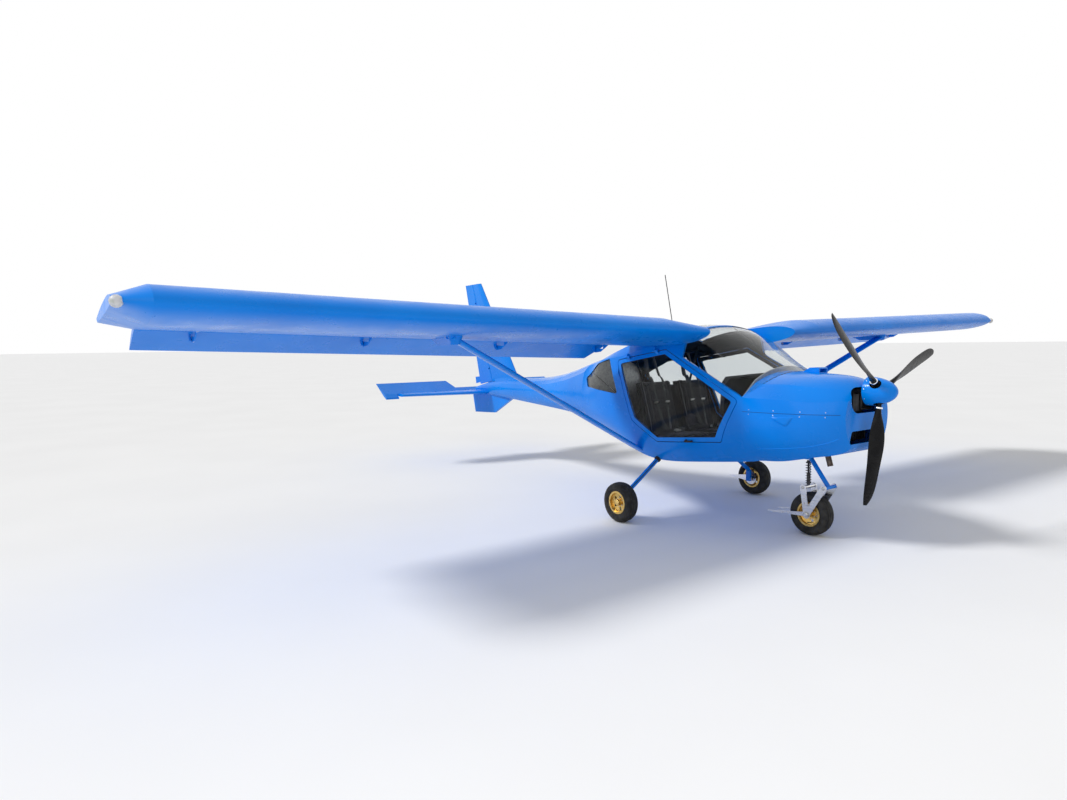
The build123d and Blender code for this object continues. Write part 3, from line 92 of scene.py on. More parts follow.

# %% [markdown]
# Each finish is a small node tree. A shader socket that is the same all over is set as a plain number;
# what varies, such as the ripple of sprayed paint or a shade painted darker towards the belly, comes from
# noise on the object's own coordinates, which are the aircraft's coordinates because every piece sits at the
# origin.

# %% helpers for finishes
class Finish:
    """A material with its shader at hand and its pattern space ready."""

    def __init__(self, name, **sockets):
        self.material = bpy.data.materials.new(name)
        self.material.use_nodes = True
        self.tree = self.material.node_tree
        self.shader = self.tree.nodes["Principled BSDF"]
        for socket, value in sockets.items():
            self.shader.inputs[socket.replace("_", " ")].default_value = value
        self.place = self.tree.nodes.new("ShaderNodeTexCoord").outputs["Object"]
        self.height = None

    def link(self, source, target):
        self.tree.links.new(source, target)

    def stretched(self, scale):
        """Pattern space stretched along the axes."""
        mapping = self.tree.nodes.new("ShaderNodeMapping")
        mapping.inputs["Scale"].default_value = scale
        self.link(self.place, mapping.inputs["Vector"])
        return mapping.outputs["Vector"]

    def noise(self, scale, detail=4.0, space=None):
        node = self.tree.nodes.new("ShaderNodeTexNoise")
        node.inputs["Scale"].default_value = scale
        node.inputs["Detail"].default_value = detail
        self.link(space or self.place, node.inputs["Vector"])
        return node.outputs["Fac"]

    def spread(self, value, low, high, from_low=0.3, from_high=0.7):
        """Maps a value onto a range."""
        node = self.tree.nodes.new("ShaderNodeMapRange")
        for name, number in (
            ("From Min", from_low), ("From Max", from_high), ("To Min", low), ("To Max", high),
        ):
            node.inputs[name].default_value = number
        self.link(value, node.inputs["Value"])
        return node.outputs["Result"]

    def two_tone(self, value, first, second, from_low=0.35, from_high=0.65):
        """Runs the base colour from one tone to another as the value rises."""
        ramp = self.tree.nodes.new("ShaderNodeValToRGB")
        ramp.color_ramp.elements[0].position, ramp.color_ramp.elements[1].position = from_low, from_high
        ramp.color_ramp.elements[0].color = (*first, 1)
        ramp.color_ramp.elements[1].color = (*second, 1)
        self.link(value, ramp.inputs["Fac"])
        self.link(ramp.outputs["Color"], self.shader.inputs["Base Color"])
        return ramp.outputs["Color"]

    def bump(self, value, depth, strength=1.0):
        """Adds relief; several calls stack."""
        node = self.tree.nodes.new("ShaderNodeBump")
        node.inputs["Distance"].default_value = depth
        node.inputs["Strength"].default_value = strength
        self.link(value, node.inputs["Height"])
        if self.height:
            self.link(self.height, node.inputs["Normal"])
        self.height = node.outputs["Normal"]
        self.link(self.height, self.shader.inputs["Normal"])

    def rough(self, value):
        self.link(value, self.shader.inputs["Roughness"])


def dress(finish, *names):
    """Gives CAD nodes a finish."""
    for name in names:
        nodes[name].data.materials.clear()
        nodes[name].data.materials.append(finish.material)


# %% [markdown]
# Sprayed enamel: a saturated azure under a thin clear gloss. Three things keep it from looking like
# plastic: a faint orange peel, a few millimetres across; fine polishing haze that varies the roughness;
# and a darker blue painted in towards the belly as shade, broken into patches by noise.

# %% blue enamel
AZURE = (0.0, 0.225, 0.80)
AZURE_DEEP = (0.0, 0.190, 0.71)
# painted shade: a darker blue mixed in low down, towards the belly
BELLY_SHADE = (0.02, 0.14, 0.50)
enamel = Finish("blue_enamel", Specular_IOR_Level=0.15, Coat_Weight=0.08, Coat_Roughness=0.04)
tone = enamel.two_tone(enamel.noise(1.3, 3.0), AZURE_DEEP, AZURE)
split = enamel.tree.nodes.new("ShaderNodeSeparateXYZ")
enamel.link(enamel.place, split.inputs[0])
# Painted shade: strongest below 0.25 m, gone above 0.85 m, broken into patches by noise
belly_shade_mask = enamel.tree.nodes.new("ShaderNodeMath")
belly_shade_mask.operation = "MULTIPLY"
enamel.link(enamel.spread(split.outputs["Z"], 0.55, 0.0, 0.25, 0.85), belly_shade_mask.inputs[0])
enamel.link(enamel.spread(enamel.noise(26.0, 8.0), 0.0, 1.0, 0.4, 0.75), belly_shade_mask.inputs[1])
belly_shade_mix = enamel.tree.nodes.new("ShaderNodeMix")
belly_shade_mix.data_type = "RGBA"
enamel.link(belly_shade_mask.outputs[0], belly_shade_mix.inputs["Factor"])
enamel.link(tone, belly_shade_mix.inputs["A"])
belly_shade_mix.inputs["B"].default_value = (*BELLY_SHADE, 1)
enamel.link(belly_shade_mix.outputs["Result"], enamel.shader.inputs["Base Color"])
enamel.rough(enamel.spread(enamel.noise(9.0, 6.0), 0.16, 0.30))
enamel.bump(enamel.noise(170.0, 2.0), 0.00035, 0.35)
PAINTED = [n for n in nodes if next(
    s["material_slot"] for s in frame["record"]["subparts"] if s["node"] == n) == "blue_paint"]
dress(enamel, *PAINTED)
print(len(PAINTED), "painted nodes")

# %% [markdown]
# The wings and tail are skinned over ribs. The same paint gets a very slight scallop between ribs, a few
# tenths of a millimetre, which shows only as a slow wave in the reflections.

# %% painted skin over ribs
RIB_SPACING = 0.42
WAVE_AT_SCALE_ONE = 0.314       # crest to crest of the wave texture at scale 1
ribbed = Finish("blue_enamel_on_ribs", Specular_IOR_Level=0.15, Coat_Weight=0.08, Coat_Roughness=0.04)
ribbed.two_tone(ribbed.noise(1.1, 3.0), AZURE_DEEP, AZURE)
ribbed.rough(ribbed.spread(ribbed.noise(7.0, 6.0), 0.24, 0.38))
wave = ribbed.tree.nodes.new("ShaderNodeTexWave")
wave.wave_type, wave.bands_direction, wave.wave_profile = "BANDS", "Y", "SIN"
wave.inputs["Scale"].default_value = 1 / RIB_SPACING * WAVE_AT_SCALE_ONE
ribbed.link(ribbed.place, wave.inputs["Vector"])
ribbed.bump(wave.outputs["Fac"], 0.0012, 0.35)
ribbed.bump(ribbed.noise(170.0, 2.0), 0.00035, 0.35)
dress(ribbed, "wing_right", "wing_left", "flaperon_right", "flaperon_left", "tailplane", "elevator")

# %% [markdown]
# The glazing is thin acrylic with a faint smoke tint. It is a real sheet with two faces, so a low index
# bends almost nothing, and it keeps the pale studio's reflection from hiding the cabin. The lamps at the
# wing tips have frosted lenses.

# %% tinted acrylic
acrylic = Finish(
    "tinted_acrylic", Base_Color=(0.84, 0.87, 0.88, 1), Roughness=0.01, IOR=1.17, Transmission_Weight=1.0
)
acrylic.rough(acrylic.spread(acrylic.noise(3.0, 8.0), 0.0, 0.012))
dress(acrylic, "door_glass_right", "door_glass_left", "quarter_windows", "roof_window", "windscreen")

lens = Finish("frosted_lens", Roughness=0.3, IOR=1.3, Transmission_Weight=0.45)
lens.two_tone(lens.noise(60.0), (0.80, 0.80, 0.79), (0.88, 0.88, 0.87))
dress(lens, "nav_light_right", "nav_light_left")

# %% [markdown]
# Metals: bright rolled aluminium for the mud plates and fork, satin zinc plating for the bearing and the
# damper, dark cast metal for the engine, and a gold colour on the wheel rims.

# %% metals
bright_plate = Finish("bright_aluminium", Base_Color=(0.80, 0.80, 0.81, 1), Metallic=1.0, Roughness=0.28)
bright_plate.rough(bright_plate.spread(
    bright_plate.noise(60.0, 4.0, bright_plate.stretched((0.1, 1.0, 1.0))), 0.2, 0.38
))
bright_plate.bump(bright_plate.noise(240.0, 2.0, bright_plate.stretched((0.1, 1.0, 1.0))), 0.0001, 0.5)
dress(bright_plate, "mud_plate_right", "mud_plate_left", "nose_fork")

satin_steel = Finish("zinc_plated_steel", Metallic=1.0, Roughness=0.4)
satin_steel.two_tone(satin_steel.noise(35.0), (0.30, 0.30, 0.31), (0.46, 0.46, 0.45))
satin_steel.rough(satin_steel.spread(satin_steel.noise(80.0), 0.32, 0.5))
dress(satin_steel, "firewall", "rear_bulkhead", "steering_bearing", "nose_damper")

plated = Finish("zinc_fasteners", Metallic=1.0, Roughness=0.3)
plated.two_tone(plated.noise(120.0), (0.50, 0.49, 0.45), (0.68, 0.67, 0.64))
plated.rough(plated.spread(plated.noise(200.0), 0.24, 0.42))

polished = Finish("polished_ring", Base_Color=(0.86, 0.86, 0.87, 1), Metallic=1.0, Roughness=0.14)
polished.rough(polished.spread(polished.noise(90.0, 4.0, polished.stretched((1.0, 1.0, 0.1))), 0.10, 0.2))

black_steel = Finish("black_coated_steel", Metallic=0.6, Roughness=0.45)
black_steel.two_tone(black_steel.noise(40.0), (0.012, 0.012, 0.013), (0.035, 0.035, 0.037))
black_steel.rough(black_steel.spread(black_steel.noise(90.0), 0.35, 0.55))

cast_metal = Finish("dark_cast_metal", Metallic=0.8, Roughness=0.55)
cast_metal.two_tone(cast_metal.noise(20.0), (0.04, 0.04, 0.043), (0.09, 0.09, 0.095))
cast_metal.bump(cast_metal.noise(260.0, 3.0), 0.0006, 0.6)
dress(cast_metal, "engine_block")

burnt_steel = Finish("burnt_exhaust_steel", Metallic=1.0, Roughness=0.42)
burnt_steel.two_tone(burnt_steel.noise(24.0, 5.0), (0.05, 0.035, 0.028), (0.15, 0.12, 0.10))
dress(burnt_steel, "exhaust_stub")

gold = Finish("gold_rim", Metallic=1.0, Roughness=0.3)
gold.two_tone(gold.noise(30.0, 5.0), (0.62, 0.40, 0.11), (0.80, 0.56, 0.20))
gold.rough(gold.spread(gold.noise(50.0, 6.0), 0.22, 0.42))
dress(gold, "rim_main_right", "rim_main_left", "rim_nose")

# %% [markdown]
# Black things are never one black: rubber is dusty and grey, the propeller is a satin lacquer over
# carbon, moulded plastic has a fine grain, and the seat covers are a soft woven cloth.

# %% blacks
rubber = Finish("tyre_rubber", Roughness=0.8, Specular_IOR_Level=0.3)
rubber.two_tone(rubber.noise(22.0, 6.0), (0.012, 0.012, 0.012), (0.04, 0.038, 0.035))
rubber.bump(rubber.noise(380.0, 3.0), 0.0004, 0.5)
dress(rubber, "tyre_main_right", "tyre_main_left", "tyre_nose")

lacquer = Finish("black_lacquer", Roughness=0.35, Specular_IOR_Level=0.12)
lacquer.two_tone(lacquer.noise(14.0, 4.0), (0.003, 0.003, 0.004), (0.009, 0.009, 0.010))
lacquer.rough(lacquer.spread(lacquer.noise(40.0, 6.0), 0.18, 0.36))
dress(lacquer, "propeller_blades")

moulding = Finish("black_moulding", Roughness=0.6, Specular_IOR_Level=0.3)
moulding.two_tone(moulding.noise(18.0), (0.010, 0.010, 0.011), (0.022, 0.022, 0.024))
moulding.bump(moulding.noise(700.0, 2.0), 0.0003, 0.5)
dress(moulding, "seat_frames", "instrument_panel", "control_stick", "antenna", "cabin_tubes")

cloth = Finish(
    "black_seat_cloth", Roughness=0.85, Specular_IOR_Level=0.25, Sheen_Weight=0.08, Sheen_Roughness=0.5
)
cloth.two_tone(cloth.noise(45.0, 5.0), (0.010, 0.010, 0.012), (0.026, 0.026, 0.03))
cloth.bump(cloth.noise(900.0, 2.0), 0.0005, 0.7)
dress(cloth, "seat_pan_right", "seat_pan_left", "seat_back_right", "seat_back_left")

felt = Finish(
    "charcoal_felt", Roughness=0.95, Specular_IOR_Level=0.25, Sheen_Weight=0.06, Sheen_Roughness=0.6
)
felt.two_tone(felt.noise(160.0, 5.0), (0.014, 0.014, 0.016), (0.034, 0.034, 0.037))
felt.bump(felt.noise(520.0, 4.0), 0.0006, 0.8)

webbing = Finish("black_webbing", Roughness=0.7, Sheen_Weight=0.15)
webbing.two_tone(webbing.noise(60.0), (0.012, 0.012, 0.013), (0.028, 0.028, 0.03))
weave = webbing.tree.nodes.new("ShaderNodeTexWave")
weave.bands_direction = "DIAGONAL"
weave.inputs["Scale"].default_value = 160
webbing.link(webbing.place, weave.inputs["Vector"])
webbing.bump(weave.outputs["Fac"], 0.0004, 0.6)

piping_cloth = Finish("grey_piping", Roughness=0.75, Sheen_Weight=0.2)
piping_cloth.two_tone(piping_cloth.noise(80.0), (0.07, 0.07, 0.075), (0.11, 0.11, 0.115))
piping_cloth.bump(piping_cloth.noise(900.0), 0.0003, 0.5)

# %% [markdown]
# The rest are small: the dark gap of a seam, dial faces and marks, dark screens, and the coloured glass
# of the wing-tip bulbs, red to port and green to starboard.

# %% small finishes
shadow_gap = Finish("seam_shadow", Roughness=0.9)
shadow_gap.two_tone(shadow_gap.noise(30.0), (0.0, 0.012, 0.05), (0.0, 0.02, 0.08))
dial_black = Finish("dial_black", Roughness=0.35)
dial_black.two_tone(dial_black.noise(60.0), (0.006, 0.006, 0.006), (0.012, 0.012, 0.012))
dial_white = Finish("dial_white", Roughness=0.5)
dial_white.two_tone(dial_white.noise(60.0), (0.70, 0.70, 0.68), (0.80, 0.80, 0.78))
dark_screen = Finish("dark_screen", Roughness=0.12, Coat_Weight=0.5)
dark_screen.two_tone(dark_screen.noise(12.0), (0.010, 0.013, 0.018), (0.020, 0.026, 0.034))
red_glass = Finish("red_bulb", Roughness=0.1, Transmission_Weight=0.5)
red_glass.two_tone(red_glass.noise(50.0), (0.60, 0.01, 0.01), (0.75, 0.03, 0.02))
green_glass = Finish("green_bulb", Roughness=0.1, Transmission_Weight=0.5)
green_glass.two_tone(green_glass.noise(50.0), (0.01, 0.42, 0.14), (0.03, 0.55, 0.20))
print(len(bpy.data.materials), "finishes")

# %% [markdown]
# Small parts are built from four kinds of form: turned, swept along a line, flat ribbon and rounded plate.
# Each cell below adds such forms to one mesh, and mesh_piece turns it into a piece that rides on a body.

# %% helpers for forms
def mesh_piece(name, form, finish, body="root", crease=40):
    """A piece made from a bmesh: smooth faces, sharp where they meet at more than the crease angle."""
    bmesh.ops.recalc_face_normals(form, faces=form.faces[:])
    for face in form.faces:
        face.smooth = True
    data = bpy.data.meshes.new(name)
    form.to_mesh(data)
    form.free()
    data.set_sharp_from_angle(angle=radians(crease))
    data.materials.append(finish.material)
    piece = bpy.data.objects.new(name, data)
    bpy.context.scene.collection.objects.link(piece)
    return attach(piece, body)


def lathe(form, profile, place, axis, steps=20):
    """Turned form. The profile is (radius, height) pairs along the axis; radius 0 closes an end."""
    turn = Vector((0, 0, 1)).rotation_difference(Vector(axis)).to_matrix()
    rings = [
        [
            form.verts.new(Vector(place) + turn @ Vector((
                radius * cos(2 * pi * k / steps), radius * sin(2 * pi * k / steps), height
            )))
            for k in range(steps if radius > 0 else 1)
        ]
        for radius, height in profile
    ]
    for low, high in zip(rings, rings[1:]):
        for k in range(steps):
            corners = (
                low[k % len(low)], low[(k + 1) % len(low)], high[(k + 1) % len(high)], high[k % len(high)]
            )
            if len(set(corners)) > 2:
                form.faces.new(tuple(dict.fromkeys(corners)))


def sweep(form, points, outline, closed=False, up=None):
    """Carries a closed outline, as (across, up) pairs, along a line of points."""
    points = [Vector(p) for p in points]
    count = len(points)
    normal = Vector(up or (0, 0, 1))
    rings = []
    for k, point in enumerate(points):
        before = points[(k - 1) % count] if closed or k else point
        after = points[(k + 1) % count] if closed or k < count - 1 else point
        along = (after - before).normalized()
        across = along.cross(normal)
        if across.length < 1e-4:
            across = along.orthogonal()
        across.normalize()
        lift = across.cross(along)
        if up is None:
            normal = lift
        rings.append([form.verts.new(point + across * a + lift * b) for a, b in outline])
    sides = len(outline)
    for k in range(count if closed else count - 1):
        low, high = rings[k], rings[(k + 1) % count]
        for i in range(sides):
            form.faces.new((low[i], low[(i + 1) % sides], high[(i + 1) % sides], high[i]))
    if not closed:
        form.faces.new(rings[0])
        form.faces.new(rings[-1])


def round_outline(radius, sides=10):
    return [(radius * cos(2 * pi * k / sides), radius * sin(2 * pi * k / sides)) for k in range(sides)]


def strap_outline(width, thickness):
    """Flat webbing with rolled edges."""
    w, t, e = width / 2, thickness / 2, thickness * 0.6
    return [(-w, 0), (-w + e, t), (w - e, t), (w, 0), (w - e, -t), (-w + e, -t)]


def plate(form, centre, size, turn=None, bevel=0.0, segments=2):
    """Rounded block."""
    made = bmesh.ops.create_cube(form, size=1.0)["verts"]
    matrix = Matrix.Translation(centre) @ (turn or Matrix.Identity(4)) @ Matrix.Diagonal((*size, 1))
    bmesh.ops.transform(form, matrix=matrix, verts=made)
    if bevel:
        edges = list({edge for vert in made for edge in vert.link_edges})
        bmesh.ops.bevel(
            form, geom=edges, offset=bevel, segments=segments, affect="EDGES", profile=0.5, material=-1
        )


def bolt(form, place, axis, radius=0.006, height=0.005):
    """Hexagon head on a washer."""
    lathe(form, ((0, 0), (radius * 1.45, 0), (radius * 1.45, height * 0.3), (radius, height * 0.3)),
          place, axis, 16)
    lathe(form, (
        (radius * 1.05, height * 0.3), (radius * 1.05, height * 0.9), (radius * 0.85, height * 1.1),
        (0, height * 1.1),
    ), place, axis, 6)


def screw(form, place, axis, radius=0.005):
    """Domed head with a round drive recess."""
    lathe(form, (
        (radius * 1.1, -radius * 0.3), (radius * 1.1, 0), (radius, radius * 0.3),
        (radius * 0.6, radius * 0.5), (radius * 0.35, radius * 0.5), (radius * 0.3, radius * 0.15),
        (0, radius * 0.15),
    ), place, axis, 14)


def skin_point(node, start, direction):
    """Where a ray meets a CAD node, with the face's normal, or None."""
    obj = nodes[node]
    back = obj.matrix_world.inverted()
    origin = back @ Vector(start)
    hit, place, normal, _ = obj.ray_cast(origin, (back.to_3x3() @ Vector(direction)).normalized())
    if not hit:
        return None
    return obj.matrix_world @ place, (obj.matrix_world.to_3x3() @ normal).normalized()


def side_point(node, x, z, side):
    """Where a level ray from outboard, on the given side, meets a CAD node."""
    return skin_point(node, (x, side * 1.2, z), (0, -side, 0))


def smooth_line(points, steps=6, closed=False):
    """Catmull-Rom line through points."""
    points = [Vector(p) for p in points]
    count = len(points)
    line = []
    for k in range(count if closed else count - 1):
        a, b, c, d = (
            points[(k + i) % count] if closed else points[min(max(k + i, 0), count - 1)]
            for i in (-1, 0, 1, 2)
        )
        for i in range(steps):
            t = i / steps
            line.append(0.5 * (
                2 * b + (c - a) * t + (2 * a - 5 * b + 4 * c - d) * t ** 2 + (3 * b - a - 3 * c + d) * t ** 3
            ))
    if not closed:
        line.append(points[-1])
    return line


def sheet_edges(node, slack=0.0004):
    """Closed lines round the outer faces of a thin CAD sheet, longest first."""
    form = bmesh.new()
    form.from_mesh(nodes[node].data)
    form.transform(nodes[node].matrix_world)
    bmesh.ops.remove_doubles(form, verts=form.verts[:], dist=slack)
    links = {}
    for edge in form.edges:
        if len(edge.link_faces) == 2 and edge.calc_face_angle(0) > radians(50):
            for a, b in (edge.verts, reversed(edge.verts)):
                links.setdefault(a, []).append(b)
    lines, used = [], set()
    for start in links:
        if start in used:
            continue
        line, here = [start], start
        used.add(start)
        while True:
            onward = [v for v in links[here] if v not in used]
            if not onward:
                break
            here = onward[0]
            used.add(here)
            line.append(here)
        lines.append([v.co.copy() for v in line])
    form.free()
    return sorted(lines, key=len, reverse=True)


def line_length(line):
    return sum((b - a).length for a, b in zip(line, line[1:] + line[:1]))


def even_line(line, step=0.02):
    """The same closed line with evenly spaced points."""
    total = line_length(line)
    count = max(12, round(total / step))
    points, walked, k = [], 0.0, 0
    for i in range(count):
        goal = total * i / count
        while walked + (line[(k + 1) % len(line)] - line[k % len(line)]).length < goal:
            walked += (line[(k + 1) % len(line)] - line[k % len(line)]).length
            k += 1
        a, b = line[k % len(line)], line[(k + 1) % len(line)]
        span = (b - a).length or 1e-9
        points.append(a.lerp(b, min(1.0, (goal - walked) / span)))
    return points


print("form helpers ready")

# %% [markdown]
# Tyres first. The solid has the right outline but no tread, so each tyre is turned again with four
# grooves round the crown, a raised ring on the sidewall and a soft shoulder, inside the same outline.

# %% tyres
WHEELS = (
    ("main_right", "main_wheel_right", (1.180, -0.931, 0.176), -1),
    ("main_left", "main_wheel_left", (1.180, 0.931, 0.176), 1),
    ("nose", "nose_wheel", (2.446, 0.0, 0.176), -1),
)
CROWN_RADIUS, CROWN_HALF, CROWN_DROP = 0.176, 0.048, 0.010
GROOVES = (-0.036, -0.013, 0.013, 0.036)
GROOVE_HALF, GROOVE_DEPTH = 0.0022, 0.004


def tread_profile():
    """Half-width and radius pairs from one bead over the crown to the other."""
    side = [
        (0.0925, -0.046), (0.101, -0.0465), (0.108, -0.052), (0.118, -0.0582),
        (0.1235, -0.0602), (0.1245, -0.0622), (0.1275, -0.0624), (0.1285, -0.0612),
        (0.139, -0.0622), (0.150, -0.0602), (0.159, -0.0556), (0.1655, -0.0485),
    ]
    crown = []
    for y in GROOVES:
        for at, deep in ((-1.5, 0), (-1, 0), (-0.7, 1), (0.7, 1), (1, 0), (1.5, 0)):
            here = y + at * GROOVE_HALF
            crown.append((CROWN_RADIUS - CROWN_DROP * (here / CROWN_HALF) ** 2 - deep * GROOVE_DEPTH, here))
    return side + crown + [(r, -y) for r, y in reversed(side)]


for wheel, body, centre, _ in WHEELS:
    form = bmesh.new()
    lathe(form, tread_profile(), centre, (0, 1, 0), 72)
    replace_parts(mesh_piece(f"tread_{wheel}", form, rubber, body, 50), f"tyre_{wheel}")
print("tyres turned")

# %% [markdown]
# The rims are two gold halves bolted together. They get their ring of bolts and a valve with a cap, and
# on the main wheels a hub cap and a brake disc with its caliper and hose.

# %% wheel hardware
for wheel, body, centre, side in WHEELS:
    place = Vector(centre)
    out = Vector((0, side, 0))
    form = bmesh.new()
    for k in range(6):
        angle = 2 * pi * (k + 0.5) / 6
        spoke = Vector((cos(angle), 0, sin(angle)))
        bolt(form, place + spoke * 0.040 + out * 0.0165, out, 0.0045, 0.006)
    mesh_piece(f"rim_bolts_{wheel}", form, plated, body)
    form = bmesh.new()
    edge = place + Vector((0.0, 0, -0.072)) + out * 0.030
    lathe(form, ((0, 0), (0.0045, 0), (0.0045, 0.008), (0.003, 0.010), (0.003, 0.017), (0.0046, 0.018),
                 (0.0046, 0.027), (0.003, 0.029), (0, 0.029)), edge, (0, side, 0.25), 14)
    mesh_piece(f"valve_{wheel}", form, moulding, body)
    if wheel != "nose":
        form = bmesh.new()
        lathe(form, (
            (0.0127, 0.0385), (0.0265, 0.0385), (0.0265, 0.046), (0.024, 0.050), (0.018, 0.052),
            (0, 0.053),
        ), place, out, 32)
        mesh_piece(f"hub_cap_{wheel}", form, gold, body)
        form = bmesh.new()
        lathe(form, ((0.030, -0.058), (0.066, -0.058), (0.067, -0.0595), (0.067, -0.0615),
                     (0.066, -0.063), (0.030, -0.063), (0.030, -0.058)), place, out, 48)
        mesh_piece(f"brake_disc_{wheel}", form, bright_plate, body)
        form = bmesh.new()
        plate(form, place + Vector((0.052, 0, 0.026)) - out * 0.0605, (0.034, 0.028, 0.052),
              Matrix.Rotation(-0.5, 4, "Y"), 0.004)
        bolt(form, place + Vector((0.052, 0, 0.042)) - out * 0.074, -out, 0.0045, 0.005)
        bolt(form, place + Vector((0.046, 0, 0.012)) - out * 0.074, -out, 0.0045, 0.005)
        mesh_piece(f"brake_caliper_{wheel}", form, cast_metal)
        form = bmesh.new()
        hose = smooth_line((
            (1.230, side * 0.866, 0.222), (1.222, side * 0.846, 0.262), (1.206, side * 0.815, 0.302),
            (1.211, side * 0.70, 0.381), (1.212, side * 0.55, 0.486), (1.213, side * 0.475, 0.540),
        ), 6)
        sweep(form, hose, round_outline(0.0035, 8))
        for t in (0.35, 0.75):
            clip = hose[round(t * (len(hose) - 1))]
            lathe(form, ((0.005, -0.004), (0.0055, -0.002), (0.0055, 0.002), (0.005, 0.004)),
                  clip, (0.02, side * 0.8, -0.6), 10)
        mesh_piece(f"brake_hose_{wheel}", form, rubber)
print("wheel hardware in place")

# %% [markdown]
# The nose leg trails on two bright V plates. Its spring is a true coil round a damper rod, and bolts
# with washers hold the plates, all turning with the leg. The main axles get their bolts here too, and
# each main leg a rubber boot close to the belly.

# %% nose gear fittings
DAMPER_FOOT, DAMPER_HEAD = Vector((2.411, 0, 0.406)), Vector((2.408, 0, 0.616))
damper_line = DAMPER_HEAD - DAMPER_FOOT
form = bmesh.new()
lathe(form, (
    (0, 0), (0.013, 0), (0.013, 0.012), (0.0215, 0.013), (0.0215, 0.018), (0.0125, 0.019),
    (0.0125, 0.095), (0.0075, 0.097), (0.0075, 0.178), (0.0205, 0.180), (0.0205, 0.187),
    (0.012, 0.188), (0.012, 0.200), (0, 0.200),
), DAMPER_FOOT, damper_line, 28)
damper = mesh_piece("damper_body", form, cast_metal, "nose_gear")
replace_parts(damper, "nose_damper")
form = bmesh.new()
COILS, COIL_STEPS, COIL_RADIUS = 7.5, 20, 0.0185
COIL_START, COIL_HEIGHT = 0.020, 0.158
coil = []
for k in range(int(COILS * COIL_STEPS) + 1):
    turn = 2 * pi * k / COIL_STEPS
    rise = COIL_START + COIL_HEIGHT * k / (COILS * COIL_STEPS)
    coil.append(DAMPER_FOOT + damper_line.normalized() * rise
                + Vector((cos(turn), sin(turn), 0)) * COIL_RADIUS)
sweep(form, coil, round_outline(0.0038, 8))
mesh_piece("damper_spring", form, black_steel, "nose_gear")

form = bmesh.new()
for side in (-1, 1):
    out = Vector((0, side, 0))
    for x, z, size in (
        (2.592, 0.411, 0.010), (2.411, 0.392, 0.009), (2.470, 0.262, 0.005), (2.430, 0.268, 0.005),
    ):
        bolt(form, Vector((x, side * 0.077, z)), out, size, size * 0.7)
    bolt(form, Vector((2.446, side * 0.0795, 0.176)) + out * 0.001, out, 0.0175, 0.006)
    for x, z in ((2.350, 0.166), (2.230, 0.156)):
        screw(form, Vector((x, side * 0.077, z)), out, 0.0035)
mesh_piece("fork_bolts", form, plated, "nose_gear")
form = bmesh.new()
for x in (2.398, 2.430):
    for side in (-1, 1):
        bolt(form, Vector((x - 0.004, side * 0.022, 0.634)), (0, side, 0), 0.0055, 0.005)
mesh_piece("clamp_bolts", form, plated, "nose_gear")
form = bmesh.new()
for _, side in SIDES:
    for x, z in ((1.166, 0.228), (1.194, 0.228), (1.166, 0.190), (1.194, 0.190)):
        bolt(form, Vector((x, side * 0.850, z)), (0, side, 0), 0.0045, 0.004)
    for x, z in ((1.130, 0.168), (1.130, 0.192)):
        screw(form, Vector((x, side * 0.854, z)), (0, side, 0), 0.004)
mesh_piece("axle_bolts", form, plated)
form = bmesh.new()
for _, side in SIDES:
    base, foot = Vector((1.190, side * 0.430, 0.551)), Vector((1.180, side * 0.838, 0.262))
    slope = (foot - base).normalized()
    sweep(form, [base + slope * 0.055, base + slope * 0.075], round_outline(0.029, 20))
    sweep(form, [base + slope * 0.075, base + slope * 0.085], round_outline(0.024, 20))
mesh_piece("leg_boots", form, rubber)
print("nose gear, axles and legs fitted")

# %% [markdown]
# At the nose, each blade leaves the spinner through a bright clamp ring, and the spinner is held by
# small domed screws. Behind the wide intake sit two finned coolers, and behind the mouth below it a
# radiator, all dark and half hidden.

# %% propeller and spinner
HUB = Vector((2.988, 0, 1.195))
BLADE_ANGLES = (-51, 69, 189)           # from straight up, towards port
SPINNER_SCREWS = 9
behind = Vector((-0.070, 0, 0))         # from the hub to the spinner's ring of screws
form = bmesh.new()
for angle in BLADE_ANGLES:
    out = Vector((0, sin(radians(angle)), cos(radians(angle))))
    lathe(form, (
        (0.0215, 0.118), (0.0275, 0.118), (0.0285, 0.120), (0.0285, 0.128), (0.0275, 0.130),
        (0.0215, 0.130),
    ), HUB, out, 28)
mesh_piece("blade_clamp_rings", form, polished, "propeller")

form = bmesh.new()
for k in range(SPINNER_SCREWS):
    angle = 2 * pi * (k + 0.25) / SPINNER_SCREWS
    out = Vector((0, cos(angle), sin(angle)))
    found = skin_point("spinner", HUB + out * 0.3 + behind, -out)
    if found and (found[0] - HUB - behind).length > 0.09:
        screw(form, found[0] - found[1] * 0.0005, found[1], 0.0042)
mesh_piece("spinner_screws", form, plated, "propeller")

form = bmesh.new()
for side in (-1, 1):
    centre = Vector((2.790, side * 0.128, 1.118))
    plate(form, centre + Vector((0, 0, 0.071)), (0.038, 0.150, 0.010), None, 0.003)
    plate(form, centre - Vector((0, 0, 0.071)), (0.038, 0.150, 0.010), None, 0.003)
    for edge in (-0.074, 0.074):
        plate(form, centre + Vector((0, edge, 0)), (0.038, 0.008, 0.150), None, 0.002)
    for k in range(17):
        plate(form, centre + Vector((0, 0, -0.064 + k * 0.008)), (0.030, 0.144, 0.0016))
    for k in range(7):
        plate(form, centre + Vector((0, -0.060 + k * 0.020, 0)), (0.022, 0.003, 0.136))
mesh_piece("oil_coolers", form, black_steel)
form = bmesh.new()
for k in range(12):
    plate(form, Vector((2.755, 0, 0.808 + k * 0.008)), (0.028, 0.380, 0.0016))
for k in range(13):
    plate(form, Vector((2.755, -0.18 + k * 0.03, 0.852)), (0.020, 0.004, 0.094))
